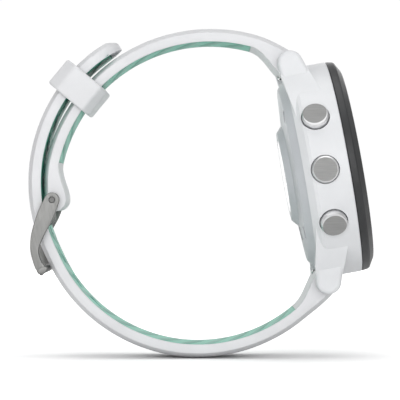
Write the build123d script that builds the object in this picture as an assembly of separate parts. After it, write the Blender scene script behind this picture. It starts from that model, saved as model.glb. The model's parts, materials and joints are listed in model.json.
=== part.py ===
from build123d import *
import math
import os

# A GPS running watch, buckled, standing on its strap with the head leaning back.
# Everything is built in the head's own frame and leaned back only when it is written:
#   +X out of the display, +Y to 3 o'clock, +Z to 12 o'clock, origin on the axis of the wrist.
# Lengths are millimetres and angles are degrees. In the X-Z plane an angle runs from +X towards +Z.

# ---- overall sizes ----
LEAN = 10.0                  # how far the head leans back
WRIST_R = 29.6               # inner radius of the strap loop, about the wrist axis
CASE_R = 20.9                # radius of the case middle

# ---- strap ----
STRAP_T = 2.8                # thickness of either strap half
STRAP_W = 16.0               # width at the buckle
STRAP_LUG_W = 17.6           # width between the lugs
TAPER_X = 2.0                # the strap widens towards the lugs from here
CROWN_W = 10.0               # flat part of the strap's outer face, between its bevels
BEVEL_DROP = 1.1             # how much thinner the strap is at its narrow edge
BEVEL_LEAD = 0.6             # overlap between one run of a bevel and the next
BEVEL_ROUND_BAR = 75.0       # how far the bevels go on round the spring bar
BEVEL_TO = 180.0             # where the buckle half's bevels have run out
LINER_T = 0.9                # coloured inner layer
LINER_RIM = 0.35             # white rim beside that layer
FLEX_GAP = 0.3               # gap at each bend in the straps
FLEX_UPPER = 92.0            # where the buckle half bends, about its own centre
FLEX_LOWER = 240.0           # where the tail half bends, about the wrist axis

# ---- buckle half: its own circle is a little off the wrist axis ----
UPPER_SHIFT = 0.95 * STRAP_T  # how far that circle's centre is off
UPPER_SHIFT_AT = -32.0
UPPER_EXTRA_R = 0.6          # its inner radius beyond the wrist radius
UPPER_LINER_FROM = 65.0      # the thick end runs out to plain strap here
UPPER_FLARE_FROM = 158.0     # the strap swells into the buckle eye from here

# ---- tail half: round the wrist, a short straight, then round again further out ----
TAIL_STEP_AT = 195.0
TAIL_STEP = 0.75 * STRAP_T
TAIL_TIP_AT = 108.4
TAIL_TIP_L = 6.0             # length of the rounded tip
TAIL_LINER_TIP = 2.6         # bare tip ahead of the liner
LOWER_LINER_TO = 299.7
SLOT_L = 3.9
SLOT_W = 2.2
SLOT_PITCH = 11.5
SLOTS_TO_TIP = 5
SLOTS_TO_LUG = 3

# ---- lugs and spring bars ----
BAR_OUT = 0.45               # bar axis beyond the case radius
BAR_OVER_WRIST = 0.9         # bar axis beyond the wrist radius
STRAP_END_MORE = 1.2         # how much rounder the strap's end is than half its thickness
LUG_R = 2.45                 # round end of a lug
LUG_T = 3.2                  # thickness of a lug at its end
LUG_ROUND = 0.8
LUG_GAP = 0.35               # between a lug and the strap, each side
LUG_ROOT = (3.05, 9.0)       # centre of the lug's wide root: outward from its bar, and up from mid-case
LUG_ROOT_R = 3.6
END_CLEAR = 0.3              # between the strap's end and the case
FLANK_IN = 1.0               # how far inside the flank a lug starts
LUG_SPREAD = 30.0            # angle either side of 3 and 9 o'clock where the lugs leave the flank
BAR_R = 0.9
TIP_R = 0.5
PIN_CLEAR = 0.06             # running clearance of a pin in its hole
TIP_IN = 1.05                # how far a tip goes into its lug
TIP_HOLE_MORE = 0.3          # how much deeper the lug's hole is
TUBE_SHORT = 0.1             # gap between the bar's tube and each lug-side face of the strap
BORE_FROM = 1.0              # the sliding tip's bore starts this far past the middle
TIP_INSIDE = 0.7             # length of the sliding tip on the inner side of its lever
LEVER_TRAVEL = 1.6
LEVER_Y = 4.6
LEVER_R = 0.45
LEVER_PROUD = 0.25           # how far a lever stands out of the strap's end
LEVER_FIT = 0.1              # round the lever in the bar's window
LEVER_SLOT_FIT = 0.2         # round the lever in the strap's slot
BAR_SPRING_R = 0.36
BAR_SPRING_WIRE_R = 0.09
BAR_SPRING_TURNS = 6
BAR_SPRING_MORE = 0.6        # how far the spring runs past the middle of the bar
BAR_SPRING_GAP = 0.15

# ---- head: heights along X from the bars' axis ----
REAR_FACE = -2.8
SPLIT = -1.4                 # joint between rear cover and case
FLANK_FROM = 0.2
BEZEL_FROM = 7.2
BEZEL_H = 2.6
BUTTON_X = 2.6
SPLIT_SLOPE_IN = 0.25        # how far inside the flank the sloping lower edge ends
FLANK_EASE = 0.3             # half the height over which that edge turns into the flank
FLANK_CHAMFER = 0.15

# ---- case middle ----
CAVITY_R = CASE_R - 3.1      # round the battery
DISPLAY_CAVITY_R = CASE_R - 1.9
STEP_X = 4.2                 # where one cavity meets the other
FLOOR_T = 1.6
FLOOR_OPEN_R = CASE_R - 7.1
SPLIT_R = CASE_R - 1.5

# ---- rear cover and sensor ----
REAR_FLAT_R = CASE_R - 3.5
REAR_EDGE_R = CASE_R - 2.0
BUMP_R = 0.43 * CASE_R
BUMP_FOOT_R = BUMP_R + 1.1
BUMP_H = 1.75
COVER_T = 1.0
COVER_FIT = 0.2              # round the rear cover in the case
COVER_LIP_FIT = 0.1          # between the cover's rim and the opening in the case floor
BUMP_CHAMFER = (0.2, 0.3)    # height and width
BUMP_SKIRT = 0.5             # height of the slope at the foot of the plinth
BUMP_WALL = 0.8
REAR_EASE = (0.2, 0.3)       # height and width of the turn at the edge of the flat back
WINDOW_R = BUMP_R - 1.6
WINDOW_T = 0.9
WINDOW_ROUND = 0.25
WINDOW_LEDGE = 0.9
SENSOR_GAP = 0.5             # between the window and the sensor board
SENSOR_BOARD_T = 0.6
SENSOR_BOARD_FIT = 0.2
EMITTER = (0.45, 0.9, 0.9)   # height and half sides of a light source
RECEIVER = (0.35, 1.3, 0.8)  # and of a light receiver
EMITTERS_AT_R = 3.4
PORT_W = 6.6
PORT_H = 2.6
PORT_WALL = 0.35
PORT_Z = -BUMP_FOOT_R - 0.1 - PORT_H / 2
PORT_RIM_IN = 0.3            # where the port's wall starts, inside the back
PORT_DEPTH = 0.7
PORT_TALL = 0.9              # how far the socket's housing rises into the case
PIN_PITCH = 1.5
CONTACT_R = 0.45
CONTACT_PROUD = 0.25
CONTACT_ROUND = 0.15
CONTACTS = 4
CONTACT_TAIL = 0.2           # pin beyond the socket, inside the case
SCREW_AT_R = CASE_R - 5.0
SCREW_HEAD_R = 1.15
SCREW_HEAD_H = 0.7
SCREW_R = 0.7
SCREW_L = 3.3
SCREW_SINK = 0.25
SCREW_FIT = 0.1
HEX_R = 0.62
HEX_DEPTH = 0.45
SCREWS = 4
INSERT_R = 1.0
INSERT_INSET = 0.1
THREAD_FIT = 0.02
BOSS_R = 1.8
BOSS_H = 1.3
GASKET_R = FLOOR_OPEN_R + 0.5
GASKET_SECTION = 0.3         # half its width, and its height
GASKET_FIT = 0.05

# ---- bezel, lens and display ----
BEZEL_WALL_H = 1.45
BEZEL_FOOT = (0.25, 0.3, 0.05)  # height, and how far inside the flank at its foot and at its top
BEZEL_SHOULDER = 0.15
BEZEL_TOP_R = CASE_R - 0.25
BEZEL_LIP_R = CASE_R - 2.1
LENS_R = CASE_R - 2.6
LENS_T = 1.6
LENS_FIT = 0.1
LENS_CHAMFER = 0.15
SEAT_R = LENS_R - 1.1
GASKET_T = 0.3
DISPLAY_R = SEAT_R - 0.2
DISPLAY_T = 1.5
BRACKET_T = 1.0
BRACKET_OPEN_R = 9.0
STACK_FIT = 0.1              # round the bracket, board and antenna
ANTENNA_T = 0.7
ANTENNA_GAP = 4.0            # half the opening in the antenna ring
BOARD_T = 0.8
SHIELD_H = 1.2
SHIELDS = ((-9, 1, 1, 9), (-9, -9, 1, -1), (3, -6, 9, 6))  # low y and z, high y and z
STACK_GAP = 0.1
BATTERY_R = FLOOR_OPEN_R - 0.2
BATTERY_CUT_Y = 0.56 * BATTERY_R
MOTOR_R = 1.3
MOTOR_L = 8.0
MOTOR_GAP = 0.4

# ---- buttons ----
BUTTON_TILT = 29.0           # of the corner buttons from the 3 and 9 o'clock axis
BUTTON_R = 2.55
BUTTON_FACE_R = BUTTON_R - 0.25
BUTTON_PROUD = 0.95
BUTTON_BEVEL = 0.3
BUTTON_CLEAR = 0.2
BUTTON_SINK = 0.7            # how far the cap's underside lies inside the case surface
WELL_DEPTH = 1.6
BUTTON_TRAVEL = 0.5
STEM_R = 0.9
STEM_IN = 0.8                # how far the stem's end is inside the cavity wall
SEAL_GAP = 0.05
SEAL_FIT = 0.03
SEAL_RUN = 0.15              # play beyond the travel in the seal's pocket
SEAL_R = STEM_R + 0.4
SEAL_L = 0.55
CLIP_R = STEM_R + 0.7
CLIP_GROOVE = 0.3
CLIP_GAP = 0.15              # between the clip and the cavity wall
CLIP_T = 0.3
SWITCH_T = 1.0
SWITCH_SIDE = 3.0
PLUNGER_R = 0.8
PLUNGER_H = 0.2
SWITCH_GAP = 0.05
SPRING_WIRE = 0.14
SPRING_R = 1.9
SPRING_TURNS = 2
SPRING_GAP = 0.03

# ---- buckle and keeper ----
PIN_AT = 173.07
PIN_IN = 1.3                 # buckle pin axis inside the wrist radius
PIN_R = 0.75
PIN_TIP_R = 0.5
EYE_IN = 0.4                 # centre of the strap's eye, inward of the pin
EYE_R = PIN_R + 1.5
ARM_GAP = 0.25
ARM_T = 1.5
END_BAR_LAP = 0.1            # how far the end bar runs into each arm
PIN_SHORT = 0.2              # the pin stops this far inside each arm's outer face
ARM = (                      # angle past the pin, radius beyond the wrist radius, half thickness
    (0.0, -PIN_IN, PIN_TIP_R + 0.95),
    (5.6, 0.25, 1.6),
    (11.9, STRAP_T - 0.25, 1.2),
    (16.5, STRAP_T + 1.15, 0.72),
    (20.9, STRAP_T + 1.5, 0.7),
    (24.0, STRAP_T + 1.12, 0.75),
)
PRONG_W = 1.6
PRONG_EYE_R = PIN_R + 0.6
PRONG_HALF_T = 0.38
NOTCH_CLEAR = 0.3            # round the prong's eye, in the strap
NOTCH_TOWARD = 12.0          # the notch opens this far past the pin
PRONG = (                    # angle past the pin, radius beyond the wrist radius
    (3.6, -0.55),
    (8.2, -0.35),
    (11.7, STRAP_T + 1.0),
    (24.4, STRAP_T + 2.45),
)
KEEPER_AT = 130.4
KEEPER_L = 6.0
KEEPER_WALL = 1.55
KEEPER_CLEAR = 0.25
KEEPER_ROUND = 2.3           # its outer corners
KEEPER_REACH = 10.0          # angle either side over which its passage is cut

BIG = 200.0                  # reaches past everything
OVERCUT = 1.0                # how far a cutter runs past what it cuts
LAP = 1.0                    # angle by which one turned run overlaps the next

# ---- places that follow from the sizes above ----
BAR_Z = CASE_R + BAR_OUT
STRAP_END_R = STRAP_T / 2 + STRAP_END_MORE
LEVER_L = STRAP_END_R + LEVER_PROUD
BAR_X = math.sqrt((WRIST_R + BAR_OVER_WRIST) ** 2 - BAR_Z ** 2)
REAR_X = BAR_X + REAR_FACE
SPLIT_X = BAR_X + SPLIT
FLOOR_X = SPLIT_X + FLOOR_T
CAVITY_STEP_X = BAR_X + STEP_X
BEZEL_X = BAR_X + BEZEL_FROM
FRONT_X = BEZEL_X + BEZEL_H
LENS_X = FRONT_X - LENS_T
SEAT_X = LENS_X - GASKET_T
BUMP_X = REAR_X - BUMP_H
SENSOR_X = BUMP_X + WINDOW_T + SENSOR_GAP
PORT_TOP = SPLIT_X + PORT_TALL
UPPER_R = WRIST_R + UPPER_EXTRA_R
HALF_W = STRAP_W / 2
LUG_IN = STRAP_LUG_W / 2 + LUG_GAP
BUTTON_SEAT = CASE_R - BUTTON_SINK
STACK_R = DISPLAY_CAVITY_R - STACK_FIT


def polar(radius, angle, centre=(0.0, 0.0)):
    """A point of the X-Z plane, at a radius and an angle about a centre."""
    a = math.radians(angle)
    return (centre[0] + radius * math.cos(a), centre[1] + radius * math.sin(a))


def about_pin(stations):
    """Points given by their angle past the pin and their radius beyond the wrist radius."""
    return [polar(WRIST_R + out, PIN_AT + past) for past, out in stations]


WRIST = (0.0, 0.0)
UPPER_C = polar(UPPER_SHIFT, UPPER_SHIFT_AT)
TAIL_C = polar(TAIL_STEP, TAIL_STEP_AT - 90)
PIN = polar(WRIST_R - PIN_IN, PIN_AT)
BARS = {"upper": (BAR_X, BAR_Z), "lower": (BAR_X, -BAR_Z)}
UPPER_GAP = math.degrees(FLEX_GAP / 2 / (UPPER_R + STRAP_T / 2))
LOWER_GAP = math.degrees(FLEX_GAP / 2 / (WRIST_R + STRAP_T / 2))
BUTTONS = {                  # name: angle about X from 12 o'clock towards 3 o'clock
    "light_button": 270 + BUTTON_TILT,
    "up_button": 270.0,
    "down_button": 270 - BUTTON_TILT,
    "start_button": 90 - BUTTON_TILT,
    "back_button": 90 + BUTTON_TILT,
}


# ---- small makers ----
def side_face(points):
    """A closed outline in the X-Z plane, as a face in plane coordinates."""
    return make_face(Polyline(*points, close=True))


def side_extrude(face, y0, y1):
    """A face drawn in X and Z, stretched along Y from y0 to y1."""
    plane = Plane(origin=(0, y1, 0), x_dir=(1, 0, 0), z_dir=(0, -1, 0))
    return extrude(plane * face, y1 - y0)


def tangent_normal(p, rp, q, rq, side):
    """Unit normal of the straight line that touches two circles, left of p to q or right of it."""
    d = math.dist(p, q)
    e = ((q[0] - p[0]) / d, (q[1] - p[1]) / d)
    c = (rp - rq) / d
    s = side * math.sqrt(1 - c * c)
    return (e[0] * c - e[1] * s, e[1] * c + e[0] * s)


def capsule(p, rp, q, rq):
    """Two circles and the straight sides that touch both."""
    corners = []
    for side in (1, -1):
        n = tangent_normal(p, rp, q, rq, side)
        pair = [(p[0] + rp * n[0], p[1] + rp * n[1]), (q[0] + rq * n[0], q[1] + rq * n[1])]
        corners += pair[::side]
    return side_face(corners) + Pos(*p) * Circle(rp) + Pos(*q) * Circle(rq)


def chain(stations):
    """Capsules through (point, half thickness) stations, end to end."""
    pieces = [capsule(p, rp, q, rq) for (p, rp), (q, rq) in zip(stations, stations[1:])]
    return sum(pieces[1:], pieces[0])


def cylinder_x(radius, x0, x1, y=0.0, z=0.0):
    return Pos((x0 + x1) / 2, y, z) * Rot(0, 90, 0) * Cylinder(radius, x1 - x0)


def cylinder_y(radius, y0, y1, at):
    return Pos(at[0], (y0 + y1) / 2, at[1]) * Rot(90, 0, 0) * Cylinder(radius, y1 - y0)


def stood(radius, z0, z1):
    """A cylinder about Z, from z0 to z1."""
    return Pos(0, 0, (z0 + z1) / 2) * Cylinder(radius, z1 - z0)


def tube_x(outer, inner, x0, x1):
    return cylinder_x(outer, x0, x1) - cylinder_x(inner, x0 - OVERCUT, x1 + OVERCUT)


def turned(points):
    """A solid of revolution about X from its (x, radius) outline."""
    return revolve(side_face(points), Axis.X)


def box_between(low, high):
    size = [h - l for l, h in zip(low, high)]
    middle = [(h + l) / 2 for l, h in zip(low, high)]
    return Pos(*middle) * Box(*size)


def band(section, centre, inner_r, a0, a1):
    """A strap section, in (height over the inner face, y), turned about a centre from a0 to a1."""
    a = math.radians(a0)
    plane = Plane(
        origin=(centre[0], 0, centre[1]),
        x_dir=(math.cos(a), 0, math.sin(a)),
        z_dir=(-math.sin(a), 0, math.cos(a)),
    )
    face = plane * side_face([(inner_r + n, y) for n, y in section])
    return revolve(face, Axis((centre[0], 0, centre[1]), (0, -1, 0)), a1 - a0)


def straight_band(section, centre, inner_r, angle, length):
    """The same section, run straight on from an angle, towards smaller angles."""
    a = math.radians(angle)
    plane = Plane(
        origin=(centre[0], 0, centre[1]),
        x_dir=(math.cos(a), 0, math.sin(a)),
        z_dir=(-math.sin(a), 0, math.cos(a)),
    )
    face = plane * side_face([(inner_r + n, y) for n, y in section])
    return extrude(face, length, dir=(math.sin(a), 0, -math.cos(a)))


def radial_plane(centre, angle, radius):
    """A plane square to the radius at an angle, its own x along the strap and y across it."""
    a = math.radians(angle)
    x, z = polar(radius, angle, centre)
    return Plane(
        origin=(x, 0, z),
        x_dir=(-math.sin(a), 0, math.cos(a)),
        z_dir=(math.cos(a), 0, math.sin(a)),
    )


# ---- straps ----
def rectangle_section(height, half_width):
    return [(0, -half_width), (0, half_width), (height, half_width), (height, -half_width)]


def bevel_sections():
    """What the bevels take off each side of a strap's outer face."""
    crown = CROWN_W / 2
    slope = BEVEL_DROP / (HALF_W - crown)
    reach = STRAP_LUG_W / 2 + OVERCUT
    low = STRAP_T - (reach - crown) * slope
    above = STRAP_T + 2 * OVERCUT
    one = [(STRAP_T, crown), (above, crown), (above, reach), (low, reach)]
    return [one, [(n, -y) for n, y in one]]


def planform():
    """The strap's outline seen along Z: parallel, then wider towards the lugs."""
    wide = STRAP_LUG_W / 2
    half = [(-BIG, HALF_W), (TAPER_X, HALF_W), (BAR_X, wide), (BIG, wide)]
    outline = half + [(x, -y) for x, y in reversed(half)]
    return extrude(Plane.XY.offset(-BIG) * side_face(outline), 2 * BIG)


def lug_end(bar, start_point):
    """The strap's thick end about its spring bar, run out to the strap's own thickness."""
    outline = capsule(bar, STRAP_END_R, start_point, STRAP_T / 2)
    return side_extrude(outline, -STRAP_LUG_W / 2, STRAP_LUG_W / 2)


def lug_bevels(bar, start_point, side):
    """The bevels carried on along the thick end and round the spring bar."""
    n = tangent_normal(bar, STRAP_END_R, start_point, STRAP_T / 2, side)
    along = (side * n[1], -side * n[0])
    start = [bar[k] + STRAP_END_R * n[k] - BEVEL_LEAD * along[k] for k in range(2)]
    run = math.sqrt(math.dist(bar, start_point) ** 2 - (STRAP_END_R - STRAP_T / 2) ** 2)
    plane = Plane(
        origin=(start[0], 0, start[1]),
        x_dir=(n[0], 0, n[1]),
        z_dir=(along[0], 0, along[1]),
    )
    angle = math.degrees(math.atan2(n[1], n[0]))
    turn = (angle, angle + BEVEL_ROUND_BAR) if side == 1 else (angle - BEVEL_ROUND_BAR, angle)
    cutters = []
    for section in bevel_sections():
        face = plane * side_face([(h - STRAP_T, y) for h, y in section])
        cutters.append(extrude(face, run + 2 * BEVEL_LEAD, dir=plane.z_dir))
        cutters.append(band(section, bar, STRAP_END_R - STRAP_T, *turn))
    return cutters


def lever_direction(bar):
    """Unit vector from a bar towards the wrist axis."""
    length = math.dist(bar, WRIST)
    return (-bar[0] / length, -bar[1] / length)


def bar_cuts(bar):
    """The hole for a spring bar and the slot that its lever slides in."""
    ux, uz = lever_direction(bar)
    half = LEVER_R + LEVER_SLOT_FIT
    far = (bar[0] + ux * 2 * STRAP_END_R, bar[1] + uz * 2 * STRAP_END_R)
    slot = side_extrude(capsule(bar, half, far, half), LEVER_Y - LEVER_TRAVEL - half, LEVER_Y + half)
    return cylinder_y(BAR_R + PIN_CLEAR, -BIG, BIG, bar) + slot


def bevels(centre, inner_r, a0, a1):
    return [band(section, centre, inner_r, a0, a1) for section in bevel_sections()]


def upper_strap():
    """The buckle half in two sections, each with its liner."""
    bar = BARS["upper"]
    bar_angle = math.degrees(math.atan2(bar[1] - UPPER_C[1], bar[0] - UPPER_C[0]))
    whole = rectangle_section(STRAP_T, STRAP_LUG_W / 2)
    lining = rectangle_section(LINER_T, HALF_W - LINER_RIM)
    middle_r = UPPER_R + STRAP_T / 2
    start = polar(middle_r, UPPER_LINER_FROM, UPPER_C)
    cutters = bevels(UPPER_C, UPPER_R, UPPER_LINER_FROM - LAP, BEVEL_TO)

    root = band(whole, UPPER_C, UPPER_R, bar_angle, FLEX_UPPER - UPPER_GAP) + lug_end(bar, start)
    root = (root & planform()) - cutters - lug_bevels(bar, start, -1) - bar_cuts(bar)
    root_liner = band(lining, UPPER_C, UPPER_R, UPPER_LINER_FROM, FLEX_UPPER - UPPER_GAP)
    root -= root_liner

    eye = polar(WRIST_R - PIN_IN - EYE_IN, PIN_AT)
    flare = capsule(polar(middle_r, UPPER_FLARE_FROM, UPPER_C), STRAP_T / 2, eye, EYE_R)
    free = band(whole, UPPER_C, UPPER_R, FLEX_UPPER + UPPER_GAP, UPPER_FLARE_FROM)
    free += side_extrude(flare, -HALF_W, HALF_W)
    free = (free & planform()) - cutters
    free_liner = band(lining, UPPER_C, UPPER_R, FLEX_UPPER + UPPER_GAP, UPPER_FLARE_FROM - LAP)
    free -= free_liner
    free -= cylinder_y(PIN_R + PIN_CLEAR, -BIG, BIG, PIN)
    notch_w = PRONG_W / 2 + NOTCH_CLEAR
    away = polar(2 * EYE_R + WRIST_R, PIN_AT + NOTCH_TOWARD)
    free -= side_extrude(capsule(PIN, PRONG_EYE_R + NOTCH_CLEAR, away, 2 * EYE_R), -notch_w, notch_w)
    return {
        "buckle_strap_lug_section": root,
        "buckle_strap_lug_liner": root_liner,
        "buckle_strap_end_section": free,
        "buckle_strap_end_liner": free_liner,
    }


def tail_tip_shape(length, half_width):
    """An oval prism that rounds the tail's tip, reaching its full width at the end of the tip."""
    at = TAIL_TIP_AT + math.degrees(TAIL_TIP_L / (WRIST_R + STRAP_T / 2))
    plane = radial_plane(TAIL_C, at, WRIST_R - OVERCUT)
    return extrude(plane * Ellipse(length, half_width), STRAP_T + 2 * OVERCUT), at


def tail_path(section, tip_length, half_width):
    """The free part of the tail half: rounded tip, outer arc, step and the arc to the bend."""
    oval, at = tail_tip_shape(tip_length, half_width)
    tip = band(section, TAIL_C, WRIST_R, TAIL_TIP_AT, at) & oval
    outer = band(section, TAIL_C, WRIST_R, at, TAIL_STEP_AT)
    step = straight_band(section, WRIST, WRIST_R, TAIL_STEP_AT, TAIL_STEP)
    inner = band(section, WRIST, WRIST_R, TAIL_STEP_AT, FLEX_LOWER - LOWER_GAP)
    return tip + outer + step + inner


def slot_at(centre, angle):
    plane = radial_plane(centre, angle, WRIST_R - OVERCUT)
    return extrude(plane * SlotOverall(SLOT_L, SLOT_W), STRAP_T + 2 * OVERCUT)


def adjustment_slots():
    """Slots along the tail: from where the prong crosses it out to the tip, and back towards the lug."""
    below, above = about_pin(PRONG[1:3])
    x, z = [(low + high) / 2 - centre for low, high, centre in zip(below, above, TAIL_C)]
    first = math.degrees(math.atan2(z, x)) % 360
    slots = [slot_at(TAIL_C, first - k * SLOT_PITCH) for k in range(SLOTS_TO_TIP + 1)]
    step_angle = math.degrees(TAIL_STEP / WRIST_R)
    slots += [slot_at(WRIST, first - step_angle + k * SLOT_PITCH) for k in range(1, SLOTS_TO_LUG + 1)]
    return slots


def lower_strap():
    """The tail half in two sections, each with its liner."""
    bar = BARS["lower"]
    bar_angle = 360 + math.degrees(math.atan2(bar[1], bar[0]))
    whole = rectangle_section(STRAP_T, STRAP_LUG_W / 2)
    narrow = rectangle_section(STRAP_T, HALF_W)
    lining = rectangle_section(LINER_T, HALF_W - LINER_RIM)
    start = polar(WRIST_R + STRAP_T / 2, LOWER_LINER_TO)
    cutters = bevels(WRIST, WRIST_R, FLEX_LOWER - LAP, LOWER_LINER_TO + LAP)

    root = band(whole, WRIST, WRIST_R, FLEX_LOWER + LOWER_GAP, bar_angle) + lug_end(bar, start)
    root = (root & planform()) - cutters - lug_bevels(bar, start, 1) - bar_cuts(bar)
    root_liner = band(lining, WRIST, WRIST_R, FLEX_LOWER + LOWER_GAP, LOWER_LINER_TO)
    root -= root_liner

    tail = tail_path(narrow, TAIL_TIP_L, HALF_W)
    tail_liner = tail_path(lining, TAIL_TIP_L - TAIL_LINER_TIP, HALF_W - LINER_RIM)
    for section in bevel_sections():
        tail -= band(section, TAIL_C, WRIST_R, TAIL_TIP_AT - LAP, TAIL_STEP_AT)
        tail -= straight_band(section, WRIST, WRIST_R, TAIL_STEP_AT, TAIL_STEP)
        tail -= band(section, WRIST, WRIST_R, TAIL_STEP_AT, FLEX_LOWER)
    tail -= tail_liner
    for slot in adjustment_slots():
        tail -= slot
        tail_liner -= slot
    return {
        "tail_strap_lug_section": root,
        "tail_strap_lug_liner": root_liner,
        "tail_strap_end_section": tail,
        "tail_strap_end_liner": tail_liner,
    }


def spring_bar(which):
    """A quick-release bar: tube with a fixed tip, sliding tip with its lever, and the spring between."""
    bar = BARS[which]
    half = STRAP_LUG_W / 2 - TUBE_SHORT
    reach = LUG_IN + TIP_IN
    tip_from = LEVER_Y - TIP_INSIDE
    tube = cylinder_y(BAR_R, -half, half, bar)
    tube -= cylinder_y(TIP_R + PIN_CLEAR, -BORE_FROM, half + OVERCUT, bar)
    tube += cylinder_y(TIP_R, -reach, -half, bar)
    ux, uz = lever_direction(bar)
    end = (bar[0] + ux * LEVER_L, bar[1] + uz * LEVER_L)
    window = LEVER_R + LEVER_FIT
    tube -= side_extrude(capsule(bar, window, end, window), LEVER_Y - LEVER_TRAVEL - window, LEVER_Y + window)
    peg = Plane(origin=(bar[0], LEVER_Y, bar[1]), z_dir=(ux, 0, uz)) * Circle(LEVER_R)
    lever = cylinder_y(TIP_R, tip_from, reach, bar) + extrude(peg, LEVER_L)
    height = tip_from + BAR_SPRING_MORE
    path = Helix(pitch=height / BAR_SPRING_TURNS, height=height, radius=BAR_SPRING_R)
    wire = sweep(Plane(path @ 0, z_dir=path % 0) * Circle(BAR_SPRING_WIRE_R), path)
    spring = Pos(bar[0], tip_from - BAR_SPRING_GAP, bar[1]) * Rot(90, 0, 0) * wire
    label = "top" if which == "upper" else "bottom"
    return {
        f"{label}_spring_bar_tube": tube,
        f"{label}_quick_release_lever": lever,
        f"{label}_spring_bar_spring": spring,
    }


# ---- head ----
def lug_horns(which):
    """The two horns of one end, faired into the flank."""
    bar = BARS[which]
    sign = 1 if which == "upper" else -1
    root = (bar[0] + LUG_ROOT[0], sign * LUG_ROOT[1])
    outline = side_extrude(capsule(bar, LUG_R, root, LUG_ROOT_R), -BIG, BIG)
    side_y = LUG_IN + LUG_T
    flank = CASE_R - FLANK_IN
    reach = BAR_Z + LUG_R + OVERCUT
    plan = [(-side_y, reach), (-side_y, BAR_Z - LUG_R)]
    plan += [polar(flank, angle) for angle in (180 - LUG_SPREAD, 180, 0, LUG_SPREAD)]
    plan += [(side_y, BAR_Z - LUG_R), (side_y, reach)]
    plane = Plane(origin=(0, 0, 0), x_dir=(0, sign, 0), z_dir=(1, 0, 0))
    horns = extrude(plane * side_face(plan), BIG) & outline
    horns -= box_between((-BIG, -LUG_IN, -BIG), (BIG, LUG_IN, BIG))
    round_ends = horns.edges().filter_by(GeomType.CIRCLE)
    return fillet(round_ends.filter_by(lambda e: abs(e.center().Y) > LUG_IN + LUG_T / 2), LUG_ROUND)


def button_frame(name):
    """A place whose own Z runs out along a button's axis, from the head's axis."""
    angle = BUTTONS[name]
    return Pos(BAR_X + BUTTON_X, 0, 0) * Rot(-angle, 0, 0)


def button_hole():
    """Well, stem hole and seal pocket of one button, along its own Z."""
    well_floor = CASE_R - WELL_DEPTH
    pocket = SEAL_L + BUTTON_TRAVEL + SEAL_RUN
    deep = CASE_R / 2
    well = Pos(0, 0, well_floor + deep / 2) * Cylinder(BUTTON_R + BUTTON_CLEAR, deep)
    stem = Pos(0, 0, CAVITY_R) * Cylinder(STEM_R + PIN_CLEAR, 2 * WELL_DEPTH + 2 * SEAL_L + 2 * OVERCUT)
    seat = Pos(0, 0, well_floor - pocket / 2) * Cylinder(SEAL_R + SEAL_FIT, pocket)
    return well + stem + seat


def case_middle():
    """The white middle: flank, lugs, floor with screw bosses, two cavities and the button wells."""
    body = turned([
        (SPLIT_X, 0),
        (SPLIT_X, SPLIT_R),
        (BAR_X + FLANK_FROM - FLANK_EASE, CASE_R - SPLIT_SLOPE_IN),
        (BAR_X + FLANK_FROM + FLANK_EASE, CASE_R),
        (BEZEL_X - FLANK_CHAMFER, CASE_R),
        (BEZEL_X, CASE_R - FLANK_CHAMFER),
        (BEZEL_X, 0),
    ])
    for which in BARS:
        body += lug_horns(which)
    body -= cylinder_x(REAR_EDGE_R + COVER_FIT, BUMP_X, SPLIT_X)
    body -= turned([
        (SPLIT_X - OVERCUT, 0),
        (SPLIT_X - OVERCUT, FLOOR_OPEN_R),
        (FLOOR_X, FLOOR_OPEN_R),
        (FLOOR_X, CAVITY_R),
        (CAVITY_STEP_X, CAVITY_R),
        (CAVITY_STEP_X, DISPLAY_CAVITY_R),
        (BEZEL_X + OVERCUT, DISPLAY_CAVITY_R),
        (BEZEL_X + OVERCUT, 0),
    ])
    for bar in BARS.values():
        deep = LUG_IN + TIP_IN + TIP_HOLE_MORE
        body -= cylinder_y(STRAP_END_R + END_CLEAR, -LUG_IN, LUG_IN, bar)
        body -= cylinder_y(TIP_R + PIN_CLEAR, -deep, deep, bar)
    for at in screw_places():
        body += cylinder_x(BOSS_R, FLOOR_X - FLOOR_T / 2, FLOOR_X + BOSS_H, *at)
        body -= cylinder_x(INSERT_R, SPLIT_X - OVERCUT, FLOOR_X + BOSS_H + OVERCUT, *at)
    for name in BUTTONS:
        body -= button_frame(name) * button_hole()
    return body


def screw_places():
    return [polar(SCREW_AT_R, 360 * (k + 0.5) / SCREWS) for k in range(SCREWS)]


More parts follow.
